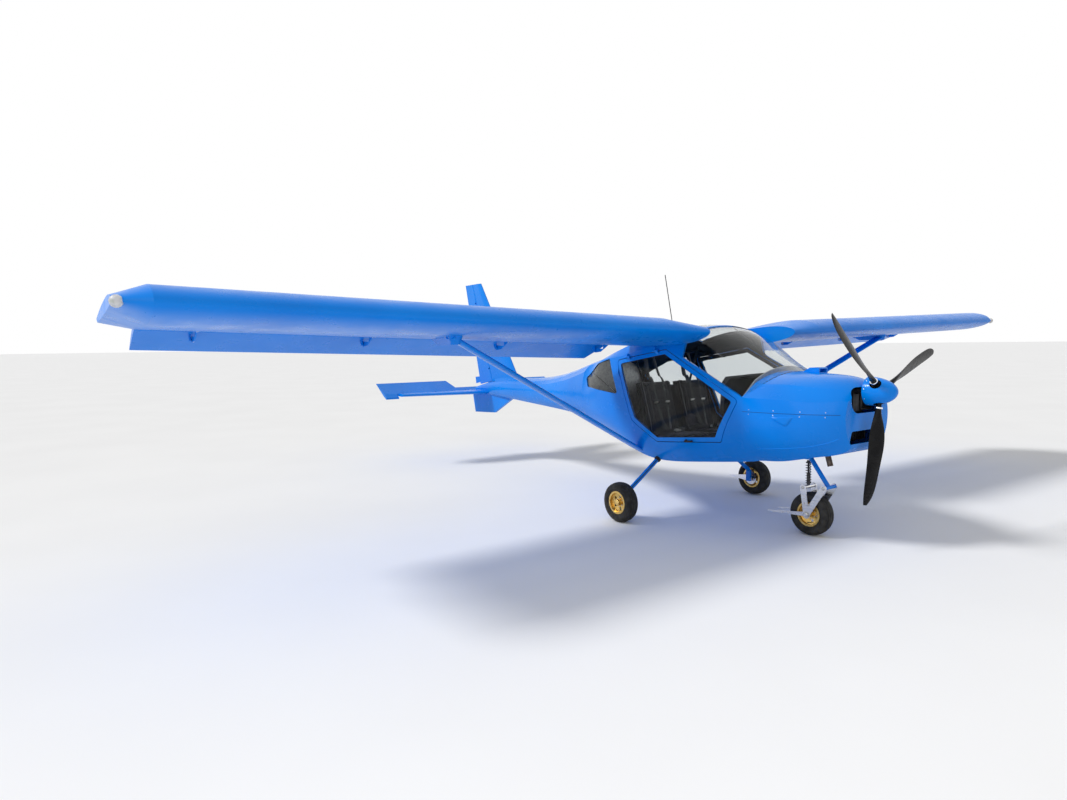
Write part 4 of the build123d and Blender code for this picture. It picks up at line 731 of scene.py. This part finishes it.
for side in (-1, 1):
    plate(form, Vector((2.755, side * 0.193, 0.852)), (0.032, 0.012, 0.100), None, 0.003)
mesh_piece("water_radiator", form, black_steel)
print("propeller, coolers and radiator done")

# %% [markdown]
# The cowling comes apart along one line at half height. The line is a fine dark gap with quarter-turn
# fasteners above and below it. A shallow three-cornered blister and a raised welt lie on each side.

# %% cowling seam, fasteners and relief
SEAM_START, SEAM_LENGTH, SEAM_STEPS = 2.212, 0.655, 33
SEAM_Z = 1.030
seam_form, fastener_form = bmesh.new(), bmesh.new()
for _, side in SIDES:
    line = []
    for k in range(SEAM_STEPS + 1):
        found = side_point("cowling_upper", SEAM_START + SEAM_LENGTH * k / SEAM_STEPS, 1.0315, side)
        if found:
            line.append(Vector((found[0].x, found[0].y, SEAM_Z)))
    if len(line) > 3:
        sweep(seam_form, line, round_outline(0.0016, 6))
    for x in (2.270, 2.460, 2.640, 2.790):
        for node, z in (("cowling_upper", 1.048), ("cowling_lower", 1.012)):
            found = side_point(node, x, z, side)
            if found:
                screw(fastener_form, found[0] - found[1] * 0.0018, found[1], 0.0045)
for k in range(9):
    angle = radians(-72 + 18 * k)
    out = Vector((0, sin(angle), cos(angle)))
    found = skin_point("cowling_upper", Vector((2.225, 0, 1.0)) + out * 1.2, -out)
    if found:
        screw(fastener_form, found[0] - found[1] * 0.0018, found[1], 0.0038)
mesh_piece("cowl_seam", seam_form, shadow_gap)
mesh_piece("cowl_fasteners", fastener_form, plated)

WELT_LINE = ((2.300, 0.735), (2.420, 0.748), (2.560, 0.764), (2.700, 0.790), (2.800, 0.822), (2.852, 0.852))
BLISTER = ((2.426, 1.000), (2.611, 1.016), (2.556, 0.925))
for name, side in SIDES:
    line = []
    for point in smooth_line([(x, 0, z) for x, z in WELT_LINE], 6):
        found = side_point("cowling_lower", point.x, point.z, side)
        if found:
            line.append(found[0] - found[1] * 0.003)
    form = bmesh.new()
    if len(line) > 4:
        sweep(form, line, round_outline(0.006, 10))
    mesh_piece(f"cowl_welt_{name}", form, enamel)
    form = bmesh.new()
    a, b, c = (Vector((x, 0, z)) for x, z in BLISTER)
    rows = 14
    grid = {}
    for i in range(rows + 1):
        for j in range(rows + 1 - i):
            u, v = i / rows, j / rows
            w = 1 - u - v
            flat = a * w + b * u + c * v
            found = side_point("cowling_lower", flat.x, flat.z, side)
            if found:
                rise = 27 * max(u, 0) * max(v, 0) * max(w, 0)
                lift = -0.002 + 0.010 * min(1.0, rise * 2.0) ** 0.6
                grid[i, j] = form.verts.new(found[0] + found[1] * lift)
    for i in range(rows):
        for j in range(rows - i):
            for corners in (((i, j), (i + 1, j), (i, j + 1)), ((i + 1, j), (i + 1, j + 1), (i, j + 1))):
                if all(corner in grid for corner in corners):
                    form.faces.new([grid[corner] for corner in corners])
    mesh_piece(f"cowl_blister_{name}", form, enamel, "root", 80)
print("cowling seam and relief done")

# %% [markdown]
# The solids are painted on both sides, so the cabin gets a lining. Each piece of it is the inner face of
# a skin, lifted a little under two millimetres off it, in charcoal felt.

# %% cabin lining
LINED = (
    ("belly_pan", "root"), ("side_front_right", "root"), ("side_front_left", "root"),
    ("side_rear_right", "root"), ("side_rear_left", "root"), ("roof_frame", "root"), ("rear_deck", "root"),
    ("door_frame_right", "door_right"), ("door_frame_left", "door_left"),
)
LINING_LIFT = 0.0018
for node, body in LINED:
    form = bmesh.new()
    form.from_mesh(nodes[node].data)
    form.transform(nodes[node].matrix_world)
    bmesh.ops.remove_doubles(form, verts=form.verts[:], dist=0.0002)
    bmesh.ops.recalc_face_normals(form, faces=form.faces[:])
    outer = []
    for face in form.faces:
        centre = face.calc_center_median()
        inward = Vector((0, -centre.y, 1.05 - centre.z)).normalized()
        if face.normal.dot(inward) < 0.35 or abs(centre.y) > 0.606:
            outer.append(face)
    bmesh.ops.delete(form, geom=outer, context="FACES")
    form.normal_update()
    for vert in form.verts:
        vert.co += vert.normal * LINING_LIFT
    mesh_piece(f"lining_{node}", form, felt, body, 60)
print(len(LINED), "linings")

# %% [markdown]
# Every pane sits in a rubber bead. The bead follows the outer rim of the pane, read from its own solid,
# and a bright row of small screws follows the windscreen's edge.

# %% glazing beads
PANES = (
    ("door_glass_right", "door_right", 1), ("door_glass_left", "door_left", 1),
    ("quarter_windows", "root", 2), ("roof_window", "root", 1), ("windscreen", "root", 1),
)
BEAD = 0.0045


def outer_rims(node, count):
    """The rims on the outer face of a pane, which are the ones further from the cabin's middle."""
    rims = [line for line in sheet_edges(node) if line_length(line) > 0.8]
    rims.sort(key=lambda line: -sum((Vector((0, p.y, p.z - 1.0))).length for p in line) / len(line))
    return rims[:count] if count == 1 else [
        max((r for r in rims if side * sum(p.y for p in r) > 0),
            key=lambda line: sum(abs(p.y) for p in line) / len(line))
        for side in (-1, 1)
    ]


for node, body, count in PANES:
    form = bmesh.new()
    for rim in outer_rims(node, count):
        sweep(form, even_line(rim, 0.012), round_outline(BEAD, 8), True)
    mesh_piece(f"bead_{node}", form, rubber, body, 60)
print("beads round", len(PANES), "panes")

# %% [markdown]
# Each door's pane has a small round vent with a knob in its middle, and the frame below the pane has a
# lever handle on a round base. Both ride on the door, so they swing up with it.

# %% door hardware
for name, side in SIDES:
    glass, frame_node, body = f"door_glass_{name}", f"door_frame_{name}", f"door_{name}"
    form = bmesh.new()
    found = side_point(glass, 1.70, 0.93, side)
    if found:
        place, out = found
        lathe(form, (
            (0.052, -0.001), (0.052, 0.004), (0.049, 0.0065), (0.044, 0.0065), (0.042, 0.003),
            (0.042, 0.0005),
        ), place, out, 40)
        lathe(form, ((0.041, 0.0015), (0.040, 0.004), (0.020, 0.0055), (0, 0.006)), place, out, 40)
        lathe(form, ((0.009, 0.005), (0.009, 0.012), (0.007, 0.014), (0, 0.014)), place, out, 20)
    mesh_piece(f"vent_{name}", form, moulding, body)
    form = bmesh.new()
    found = side_point(frame_node, 1.62, 0.735, side)
    if found:
        place, out = found
        lathe(form, (
            (0.014, -0.002), (0.014, 0.004), (0.012, 0.007), (0.009, 0.007), (0.009, 0.016),
            (0, 0.017),
        ), place, out, 24)
        along = Vector((1, 0, 0.11)).normalized()
        sweep(form, [place + out * 0.014 - along * 0.012, place + out * 0.017 + along * 0.025,
                     place + out * 0.016 + along * 0.062, place + out * 0.011 + along * 0.078],
              [(0.009, 0), (0.006, 0.004), (-0.006, 0.004), (-0.009, 0), (-0.006, -0.004), (0.006, -0.004)],
              up=out)
    mesh_piece(f"door_handle_{name}", form, black_steel, body)
print("door vents and handles on")

# %% [markdown]
# The seat cushions are soft. Each starts as its solid, drawn in a little, is remeshed fine, and is blown
# up by a short cloth simulation. The sewn channels are pressed in afterwards, on the settled shape.

# %% cushions
VOXEL = 0.006
SMOOTHING_ROUNDS = 16
CLOTH_QUALITY, CLOTH_MASS = 5, 0.3
STRETCH_STIFFNESS, BENDING_STIFFNESS = 12, 0.6
PRESSURE = 4.0
CLOTH_FRAMES = 20
SWELL_CAP = 0.016       # no point moves further than this
scene = bpy.context.scene


def evaluated_mesh(obj):
    return bpy.data.meshes.new_from_object(obj.evaluated_get(bpy.context.evaluated_depsgraph_get()))


def settle(name, node, shrink):
    """Cushion mesh blown up from a CAD solid."""
    form = bmesh.new()
    form.from_mesh(nodes[node].data)
    form.transform(nodes[node].matrix_world)
    bmesh.ops.remove_doubles(form, verts=form.verts[:], dist=0.0002)
    low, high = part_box(node)
    middle = (Vector(low) + Vector(high)) / 2
    for vert in form.verts:
        vert.co = middle + Vector(a * b for a, b in zip(vert.co - middle, shrink))
    data = bpy.data.meshes.new(name)
    form.to_mesh(data)
    form.free()
    obj = bpy.data.objects.new(name, data)
    scene.collection.objects.link(obj)
    remesh = obj.modifiers.new("even", "REMESH")
    remesh.mode, remesh.voxel_size = "VOXEL", VOXEL
    obj.data = evaluated_mesh(obj)
    obj.modifiers.clear()
    form = bmesh.new()
    form.from_mesh(obj.data)
    for _ in range(SMOOTHING_ROUNDS):
        bmesh.ops.smooth_vert(
            form, verts=form.verts[:], factor=0.5, use_axis_x=True, use_axis_y=True, use_axis_z=True
        )
    form.to_mesh(obj.data)
    form.free()
    start = [vert.co.copy() for vert in obj.data.vertices]
    cloth_modifier = obj.modifiers.new("fill", "CLOTH")
    settings = cloth_modifier.settings
    settings.quality = CLOTH_QUALITY
    settings.mass = CLOTH_MASS
    settings.tension_stiffness = settings.compression_stiffness = STRETCH_STIFFNESS
    settings.bending_stiffness = BENDING_STIFFNESS
    settings.use_pressure = True
    settings.uniform_pressure_force = PRESSURE
    settings.effector_weights.gravity = 0
    cloth_modifier.collision_settings.use_collision = False
    cache = cloth_modifier.point_cache
    cache.frame_start, cache.frame_end = 1, CLOTH_FRAMES
    for step in range(1, CLOTH_FRAMES + 1):
        scene.frame_set(step)
    swollen = evaluated_mesh(obj)
    obj.modifiers.clear()
    scene.frame_set(1)
    for vert, before, after in zip(obj.data.vertices, start, [v.co.copy() for v in swollen.vertices]):
        move = after - before
        if move.length > SWELL_CAP:
            move *= SWELL_CAP / move.length
        vert.co = before + move
    bpy.data.meshes.remove(swollen)
    return obj


def sew(obj, seam, width=0.009, depth=0.0075):
    """Presses a seam into a cushion. seam gives each point's distance from it."""
    normals = [vert.normal.copy() for vert in obj.data.vertices]
    for vert, normal in zip(obj.data.vertices, normals):
        distance = seam(vert.co)
        if distance < 3 * width:
            vert.co -= normal * depth * 2.718 ** (-(distance / width) ** 2)


SEAT_Y = 0.250
BOLSTER_Y = 0.125       # from a seat's middle to the long seam beside its bolster
PAN_CHANNELS = (1.175, 1.255, 1.335)
BACK_CHANNELS = (0.86, 0.95, 1.04, 1.13)
CHANNEL_WIDTH, CHANNEL_DEPTH = 0.007, 0.006
FAR = 1                 # distance from a seam at which nothing is pressed in
pan = settle("cushion_pan_right", "seat_pan_right", (0.95, 0.955, 0.86))
back = settle("cushion_back_right", "seat_back_right", (0.93, 0.955, 0.965))
for offset in (-BOLSTER_Y, BOLSTER_Y):
    sew(pan, lambda p: abs(p.y + SEAT_Y - offset) if p.z > 0.69 else FAR)
    sew(back, lambda p: abs(p.y + SEAT_Y - offset))
for x in PAN_CHANNELS:
    sew(pan, lambda p: (
        abs(p.x - x) if abs(p.y + SEAT_Y) < BOLSTER_Y and p.z > 0.70 else FAR
    ), CHANNEL_WIDTH, CHANNEL_DEPTH)
for z in BACK_CHANNELS:
    sew(back, lambda p: (
        abs(p.z - z) if abs(p.y + SEAT_Y) < BOLSTER_Y and p.x > 1.20 - 0.28 * p.z else FAR
    ), CHANNEL_WIDTH, CHANNEL_DEPTH)
print("cushions", len(pan.data.vertices), len(back.data.vertices))

# %% [markdown]
# Piping follows each cushion's edge, laid on the settled shape. The port pair are the starboard pair
# mirrored, as they are sewn from one pattern. Each cover takes the place of its solid.

# %% piping and seat covers
def cushion_line(obj, points):
    """Points moved onto the nearest place of a cushion, a little proud of it."""
    graph = bpy.context.evaluated_depsgraph_get()
    tree = BVHTree.FromObject(obj, graph)
    line = []
    for point in points:
        place, normal, _, _ = tree.find_nearest(Vector(point))
        line.append(place + normal * 0.0008)
    return line


def piping(obj, corners):
    """Piping round a cushion, through corners (x, y from the seat's middle, z)."""
    form = bmesh.new()
    line = smooth_line([(x, y - SEAT_Y, z) for x, y, z in corners], 10, True)
    sweep(form, cushion_line(obj, line), round_outline(0.0034, 8), True)
    return form


PAN_PIPING = (
    (1.452, -0.185, 0.708), (1.452, 0, 0.708), (1.452, 0.185, 0.708),
    (1.400, 0.196, 0.735), (1.260, 0.196, 0.728), (1.130, 0.196, 0.716),
    (1.085, 0.185, 0.704), (1.085, 0, 0.704), (1.085, -0.185, 0.704),
    (1.130, -0.196, 0.716), (1.260, -0.196, 0.728), (1.400, -0.196, 0.735),
)
BACK_PIPING = (
    (1.078, -0.185, 0.735), (1.078, 0, 0.735), (1.078, 0.185, 0.735),
    (1.040, 0.196, 0.870), (0.985, 0.196, 1.050), (0.940, 0.188, 1.190),
    (0.918, 0.120, 1.220), (0.915, 0, 1.224), (0.918, -0.120, 1.220),
    (0.940, -0.188, 1.190), (0.985, -0.196, 1.050), (1.040, -0.196, 0.870),
)
for obj, kind, corners in ((pan, "pan", PAN_PIPING), (back, "back", BACK_PIPING)):
    trim = piping(obj, corners)
    for name, side in SIDES:
        copy = bmesh.new()
        copy.from_mesh(obj.data)
        pipe = trim.copy()
        if side > 0:
            for form in (copy, pipe):
                bmesh.ops.scale(form, vec=(1, -1, 1), verts=form.verts[:])
        cushion = mesh_piece(f"seat_{kind}_cover_{name}", copy, cloth, "root", 180)
        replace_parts(cushion, f"seat_{kind}_{name}")
        mesh_piece(f"seat_{kind}_piping_{name}", pipe, piping_cloth, "root", 180)
    trim.free()
    bpy.data.objects.remove(obj)
print("seats covered")

# %% [markdown]
# The harness hangs as it is left after a flight: two shoulder straps from the roof tube over the backrest
# and down to a lap belt with its buckle. The webbing is a flat ribbon 46 millimetres wide.

# %% harness
WEB = strap_outline(0.046, 0.0016)
for name, side in SIDES:
    form, metal = bmesh.new(), bmesh.new()
    seat = side * SEAT_Y
    for offset in (-0.075, 0.075):
        line = smooth_line((
            (0.836, seat + offset * 0.7, 1.466), (0.862, seat + offset * 0.8, 1.380),
            (0.900, seat + offset, 1.262), (0.928, seat + offset, 1.243),
            (0.956, seat + offset, 1.196), (0.996, seat + offset, 1.060),
            (1.040, seat + offset * 0.9, 0.920), (1.078, seat + offset * 0.6, 0.810),
            (1.118, seat + offset * 0.3, 0.762), (1.190, seat + offset * 0.15, 0.754),
        ), 5)
        sweep(form, line, WEB)
        plate(metal, Vector((1.013, seat + offset, 1.006)), (0.003, 0.052, 0.036),
              Matrix.Rotation(0.29, 4, "Y"), 0.001)
    for way in (-1, 1):
        line = smooth_line((
            (1.085, seat + way * 0.205, 0.640), (1.100, seat + way * 0.206, 0.700),
            (1.128, seat + way * 0.175, 0.748), (1.165, seat + way * 0.100, 0.757),
            (1.196, seat + way * 0.028, 0.758),
        ), 5)
        sweep(form, line, WEB)
    plate(metal, Vector((1.205, seat, 0.763)), (0.058, 0.062, 0.014), Matrix.Rotation(0.05, 4, "Y"), 0.004)
    lathe(metal, ((0.016, 0), (0.016, 0.004), (0.013, 0.006), (0, 0.006)),
          (1.205, seat, 0.769), (0, 0, 1), 24)
    mesh_piece(f"harness_{name}", form, webbing, "root", 80)
    mesh_piece(f"buckle_{name}", metal, plated)
print("harness hung")

# %% [markdown]
# The instrument panel is a black plate with ten round instruments, three screens, a row of switches and
# four knobs. The dials carry plain tick marks and a needle and nothing else.

# %% instruments
PANEL_X = 1.985
DIALS = (
    (0.34, 1.185, 0.040), (0.24, 1.185, 0.040), (0.14, 1.185, 0.040),
    (0.34, 1.090, 0.040), (0.24, 1.090, 0.040),
    (-0.16, 1.190, 0.029), (-0.235, 1.190, 0.029), (-0.31, 1.190, 0.029),
    (-0.16, 1.115, 0.029), (-0.235, 1.115, 0.029),
)
SWITCH_Z = 1.030
SCREENS = ((0.0, 1.175, 0.130, 0.085), (0.0, 1.085, 0.150, 0.045), (-0.385, 1.120, 0.070, 0.100))
aft = Vector((-1, 0, 0))
bezels, faces, marks, glow = bmesh.new(), bmesh.new(), bmesh.new(), bmesh.new()
for number, (y, z, radius) in enumerate(DIALS):
    place = Vector((PANEL_X, y, z))
    lathe(bezels, (
        (radius * 1.12, 0), (radius * 1.12, 0.005), (radius * 1.05, 0.008), (radius, 0.008),
        (radius * 0.94, 0.003),
    ), place, aft, 40)
    lathe(faces, ((radius, 0.0015), (radius * 0.6, 0.0018), (0, 0.002)), place, aft, 32)
    for k in range(13):
        angle = radians(-140 + 280 * k / 12)
        out = Vector((0, -sin(angle), cos(angle)))
        length = radius * (0.2 if k % 3 == 0 else 0.12)
        plate(marks, place + out * radius * 0.80 + aft * 0.0024, (0.0004, 0.0012, length),
              Matrix.Rotation(angle, 4, "X"))
    angle = radians(-130 + 37 * number % 200)
    out = Vector((0, -sin(angle), cos(angle)))
    plate(marks, place + out * radius * 0.3 + aft * 0.0032, (0.0005, 0.0018, radius * 0.75),
          Matrix.Rotation(angle, 4, "X"))
    lathe(bezels, ((0.004, 0.002), (0.004, 0.004), (0, 0.0045)), place, aft, 16)
    for u in (-1, 1):
        for v in (-1, 1):
            screw(bezels, place + Vector((0, u, v)) * radius * 0.92, aft, 0.0025)
for y, z, width, height in SCREENS:
    plate(bezels, Vector((PANEL_X - 0.004, y, z)), (0.010, width + 0.016, height + 0.016), None, 0.003)
    plate(glow, Vector((PANEL_X - 0.0094, y, z)), (0.001, width, height), None, 0.0004)
for k in range(8):
    y = 0.34 - 0.030 * k
    lathe(bezels, ((0.006, 0), (0.006, 0.003), (0.0035, 0.004), (0.0035, 0.005), (0, 0.005)),
          (PANEL_X, y, SWITCH_Z), aft, 14)
    sweep(marks, [Vector((PANEL_X - 0.004, y, SWITCH_Z)), Vector((PANEL_X - 0.017, y, SWITCH_Z + 0.004))],
          round_outline(0.0018, 8))
for y in (-0.06, -0.02, 0.02, 0.06):
    lathe(bezels, ((0.009, 0), (0.009, 0.012), (0.007, 0.015), (0, 0.015)), (PANEL_X, y, SWITCH_Z), aft, 18)
mesh_piece("panel_bezels", bezels, moulding)
mesh_piece("dial_faces", faces, dial_black)
mesh_piece("dial_marks", marks, dial_white)
mesh_piece("panel_screens", glow, dark_screen)
print(len(DIALS), "dials and", len(SCREENS), "screens")

# %% [markdown]
# The controls get what a hand or a foot meets: two ribbed rubber grips on the stick, a pair of pedals for
# each seat, every one a stem with two round bars, and a throttle lever with its knob.

# %% stick grips, pedals and levers
form = bmesh.new()
for side in (-1, 1):
    place = Vector((1.560, side * 0.140, 0.812))
    lathe(form, (
        (0.0165, -0.004), (0.0205, 0), (0.0195, 0.012), (0.0210, 0.022), (0.0193, 0.034),
        (0.0212, 0.046), (0.0196, 0.058), (0.0214, 0.070), (0.0198, 0.084), (0.0218, 0.100),
        (0.0205, 0.116), (0.012, 0.1225), (0, 0.123),
    ), place, (0, 0, 1), 28)
mesh_piece("stick_grips", form, rubber)
form = bmesh.new()
for _, side in SIDES:
    for step in (-0.095, 0.095):
        y = side * SEAT_Y + step
        stem = ((2.060, y, 0.640), (2.046, y, 0.700), (2.030, y, 0.778), (2.022, y, 0.800))
        sweep(form, smooth_line(stem, 5), round_outline(0.008, 10))
        for bar in (0.705, 0.790):
            lathe(form, (
                (0, -0.052), (0.008, -0.052), (0.011, -0.050), (0.011, 0.050), (0.008, 0.052), (0, 0.052),
            ), (2.045 - (bar - 0.705) * 0.25, y, bar), (0, 1, 0), 16)
mesh_piece("rudder_pedals", form, black_steel)
form = bmesh.new()
lever = ((1.700, 0, 0.560), (1.712, 0, 0.650), (1.730, 0, 0.735))
sweep(form, smooth_line(lever, 5), round_outline(0.007, 10))
lathe(form, ((0.007, 0), (0.014, 0.006), (0.018, 0.020), (0.014, 0.036), (0, 0.042)),
      (1.730, 0, 0.730), (0.15, 0, 1), 20)
mesh_piece("throttle_lever", form, black_steel)
print("controls done")

# %% [markdown]
# On the wings: bolts at the flaperon hinges, a filler cap on top of each wing, a bulb on a bright seat in
# each frosted wing-tip lamp, and bolts and screws at the two ends of each strut.

# %% wing fittings
WING_LE_X, TIP_LE_Z, HALF_SPAN = 1.870, 1.808, 4.775
WING_SLOPE, DIHEDRAL = radians(4.2), radians(2.0)
HINGE_C, HINGE_T = 1.098, -0.080
HINGE_STATIONS = (0.870, 1.940, 3.100, 4.250)


def wing_point(y, c, t, side):
    """Point of the wing at half-span y, chordwise c and height t."""
    le_z = TIP_LE_Z - (HALF_SPAN - y) * tan(DIHEDRAL)
    return Vector((
        WING_LE_X - c * cos(WING_SLOPE) - t * sin(WING_SLOPE),
        side * y,
        le_z - c * sin(WING_SLOPE) + t * cos(WING_SLOPE),
    ))


for name, side in SIDES:
    out = Vector((0, side, 0))
    hinge = bmesh.new()
    for y in HINGE_STATIONS:
        place = wing_point(y, HINGE_C, HINGE_T, side)
        bolt(hinge, place, -out, 0.0075, 0.006)
        for c, t in ((0.905, -0.030), (0.950, -0.031)):
            found = skin_point(f"wing_{name}", wing_point(y + 0.005, c, -0.4, side), (0, 0, 1))
            if found:
                screw(hinge, found[0], found[1], 0.004)
    mesh_piece(f"hinge_bolts_{name}", hinge, plated)

    cap = bmesh.new()
    found = skin_point(f"wing_{name}", wing_point(1.25, 0.42, 0.5, side), (0, 0, -1))
    if found:
        place, normal = found
        lathe(cap, (
            (0.046, -0.001), (0.046, 0.002), (0.040, 0.003), (0.040, 0.007), (0.036, 0.010),
            (0.014, 0.0105), (0.012, 0.008), (0, 0.008),
        ), place, normal, 40)
        plate(cap, place + normal * 0.011, (0.050, 0.006, 0.005), None, 0.0015)
    mesh_piece(f"filler_cap_{name}", cap, polished)

    lamp_place = wing_point(HALF_SPAN - 0.022, 0.062, 0, side)
    lamp_axis = (0.35, side, 0)
    lamp_seat = bmesh.new()
    lathe(lamp_seat, ((0.016, -0.006), (0.016, 0.002), (0.007, 0.003), (0.007, 0.008)),
          lamp_place, lamp_axis, 24)
    mesh_piece(f"lamp_seat_{name}", lamp_seat, polished)
    bulb = bmesh.new()
    lathe(bulb, ((0.006, 0.006), (0.0085, 0.012), (0.008, 0.018), (0.005, 0.0215), (0, 0.023)),
          lamp_place, lamp_axis, 20)
    mesh_piece(f"lamp_bulb_{name}", bulb, red_glass if side > 0 else green_glass)

    fitting = bmesh.new()
    low = Vector((0.955, side * 0.475, 0.569))
    top = Vector((1.500, side * 2.780, 1.632))
    slope = (top - low).normalized()
    for at in (0.050, 0.095):
        for way in (-1, 1):
            normal = Vector((0, -slope.z, slope.y)).normalized() * way
            found = skin_point(f"strut_{name}", low + slope * at + normal * 0.2, -normal)
            if found:
                bolt(fitting, found[0], found[1], 0.006, 0.005)
    for x, y in ((1.545, 2.79), (1.455, 2.79), (1.52, 2.72)):
        found = skin_point(f"strut_{name}", Vector((x, side * y, 1.30)), (0, 0, 1))
        if found:
            screw(fitting, found[0], found[1], 0.005)
    mesh_piece(f"strut_bolts_{name}", fitting, plated)
print("wing fittings on")

# %% [markdown]
# The tail gets bolt heads at the hinges of the elevator and the rudder, and the antenna on the cabin roof
# a small rubber boot.

# %% tail fittings
RUDDER_LINE_X, RUDDER_LINE_Z = (-2.364, -2.890), (0.980, 2.418)     # foot and top of its hinge line
form = bmesh.new()
for _, side in SIDES:
    for y in (0.160, 0.640, 1.120):
        bolt(form, Vector((-2.860, side * (y + 0.008), 0.930)), (0, side, 0), 0.005, 0.004)
for z in (1.250, 2.150):
    low_x, top_x = RUDDER_LINE_X
    low_z, top_z = RUDDER_LINE_Z
    x = low_x + (top_x - low_x) * (z - low_z) / (top_z - low_z)
    bolt(form, Vector((x, 0, z + 0.008)), (-0.34, 0, 0.94), 0.005, 0.003)
mesh_piece("tail_hinge_bolts", form, plated)
form = bmesh.new()
lathe(form, ((0.016, -0.004), (0.018, 0), (0.014, 0.010), (0.008, 0.028), (0.005, 0.036), (0.0045, 0.040)),
      (0.8562, 0.080, 1.655), (-0.2, 0, 1), 20)
mesh_piece("antenna_boot", form, rubber)
print("tail and antenna fittings on")

# %% [markdown]
# The fin meets the tail cone in a soft fillet that rounds the joint. It also covers an opening in the top
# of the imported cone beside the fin's foot. Rays find the fin and the cone, and a curved strip joins the
# two.

# %% fin fillet
FILLET_RISE, FILLET_REACH, FILLET_STEPS = 0.030, 0.040, 6
FIN_FRONT, FIN_BACK = -1.83, -2.31
FOOT_Z, FOOT_SLOPE = 1.088, 0.095


def fillet_row(top, outward):
    """One curve of the fillet, from the fin's side down to the cone."""
    foot = top + outward * FILLET_REACH
    found = skin_point("tail_cone", (foot.x, foot.y, top.z + 0.3), (0, 0, -1))
    foot = found[0] - Vector((0, 0, 0.002)) if found else foot
    elbow = Vector((top.x, top.y, foot.z + 0.006)) + outward * 0.006
    row = []
    for k in range(FILLET_STEPS + 1):
        t = k / FILLET_STEPS
        row.append(top * (1 - t) ** 2 + elbow * (2 * t * (1 - t)) + foot * t ** 2)
    return row


def fillet_height(x):
    """Upper edge of the fillet, a little over the fin's foot, which rises slowly forwards."""
    return FOOT_Z + (x - FIN_BACK) * FOOT_SLOPE + FILLET_RISE


rows = []
stations = [FIN_BACK + (FIN_FRONT - FIN_BACK) * k / 14 for k in range(15)]
for side, order in ((-1, stations), (1, stations[::-1])):
    if side == 1:
        height = fillet_height(FIN_FRONT)
        nose = skin_point("fin", (-1.2, 0, height), (-1, 0, 0))
        if nose:
            rows.append(fillet_row(nose[0] + Vector((0.0015, 0, 0)), Vector((1, 0, 0))))
    for x in order:
        found = skin_point("fin", (x, side * 0.5, fillet_height(x)), (0, -side, 0))
        if found:
            rows.append(fillet_row(found[0] + Vector((0, side * 0.0015, 0)), Vector((0, side, 0))))
form = bmesh.new()
strip = [[form.verts.new(point) for point in row] for row in rows]
for before, after in zip(strip, strip[1:]):
    for k in range(FILLET_STEPS):
        form.faces.new((before[k], after[k], after[k + 1], before[k + 1]))
mesh_piece("fin_fillet", form, enamel, "root", 80)
print("fin fillet over", len(rows), "curves")

# %% [markdown]
# A plain pale floor and a white surround, as in a studio. The surround is full white to the camera, in
# reflections and through the glass, and lights the aircraft with about half of that. The shadows come
# from one soft sun, high to starboard and a little behind, as in the photograph. A weak lamp fills them.

# %% floor, surround and lamps
FLOOR_SIZE = 400
SURROUND_LIGHT, SURROUND_SEEN = 0.48, 1.0
SUN_STRENGTH, SUN_WIDTH, SUN_WAY = 2.1, radians(12), Vector((0.36, 0.70, -0.72))
floor_mesh = bmesh.new()
bmesh.ops.create_grid(floor_mesh, x_segments=1, y_segments=1, size=FLOOR_SIZE)
floor_data = bpy.data.meshes.new("floor")
floor_mesh.to_mesh(floor_data)
floor_mesh.free()
floor = bpy.data.objects.new("floor", floor_data)
bpy.context.scene.collection.objects.link(floor)
pale = Finish("pale_floor", Roughness=0.9, Specular_IOR_Level=0.1)
pale.two_tone(pale.noise(0.6, 3.0), (0.88, 0.88, 0.88), (0.90, 0.90, 0.90))
floor.data.materials.append(pale.material)

world = bpy.data.worlds.new("studio")
bpy.context.scene.world = world
world.use_nodes = True
tree = world.node_tree
background = tree.nodes["Background"]
background.inputs["Color"].default_value = (1, 1, 1, 1)
paths = tree.nodes.new("ShaderNodeLightPath")
seen = tree.nodes.new("ShaderNodeMath")
seen.operation = "MAXIMUM"
tree.links.new(paths.outputs["Is Camera Ray"], seen.inputs[0])
tree.links.new(paths.outputs["Is Glossy Ray"], seen.inputs[1])
seen_through = tree.nodes.new("ShaderNodeMath")
seen_through.operation = "MAXIMUM"
tree.links.new(seen.outputs[0], seen_through.inputs[0])
tree.links.new(paths.outputs["Is Transmission Ray"], seen_through.inputs[1])
strength = tree.nodes.new("ShaderNodeMapRange")
strength.inputs["To Min"].default_value = SURROUND_LIGHT
strength.inputs["To Max"].default_value = SURROUND_SEEN
tree.links.new(seen_through.outputs[0], strength.inputs["Value"])
tree.links.new(strength.outputs["Result"], background.inputs["Strength"])


def lamp(name, place, target, size, watts):
    """A square soft lamp aimed at a point."""
    data = bpy.data.lights.new(name, "AREA")
    data.size, data.energy = size, watts
    obj = bpy.data.objects.new(name, data)
    bpy.context.scene.collection.objects.link(obj)
    obj.location = place
    obj.rotation_euler = (Vector(target) - Vector(place)).to_track_quat("-Z", "Y").to_euler()


sun_data = bpy.data.lights.new("sky", "SUN")
sun_data.energy, sun_data.angle = SUN_STRENGTH, SUN_WIDTH
sun = bpy.data.objects.new("sky", sun_data)
bpy.context.scene.collection.objects.link(sun)
sun.rotation_euler = SUN_WAY.to_track_quat("-Z", "Y").to_euler()
lamp("fill", (7.0, -7.0, 5.0), (1.0, 0, 1.0), 6.0, 120)
bpy.context.scene.view_settings.view_transform = "Standard"
print("stage ready")
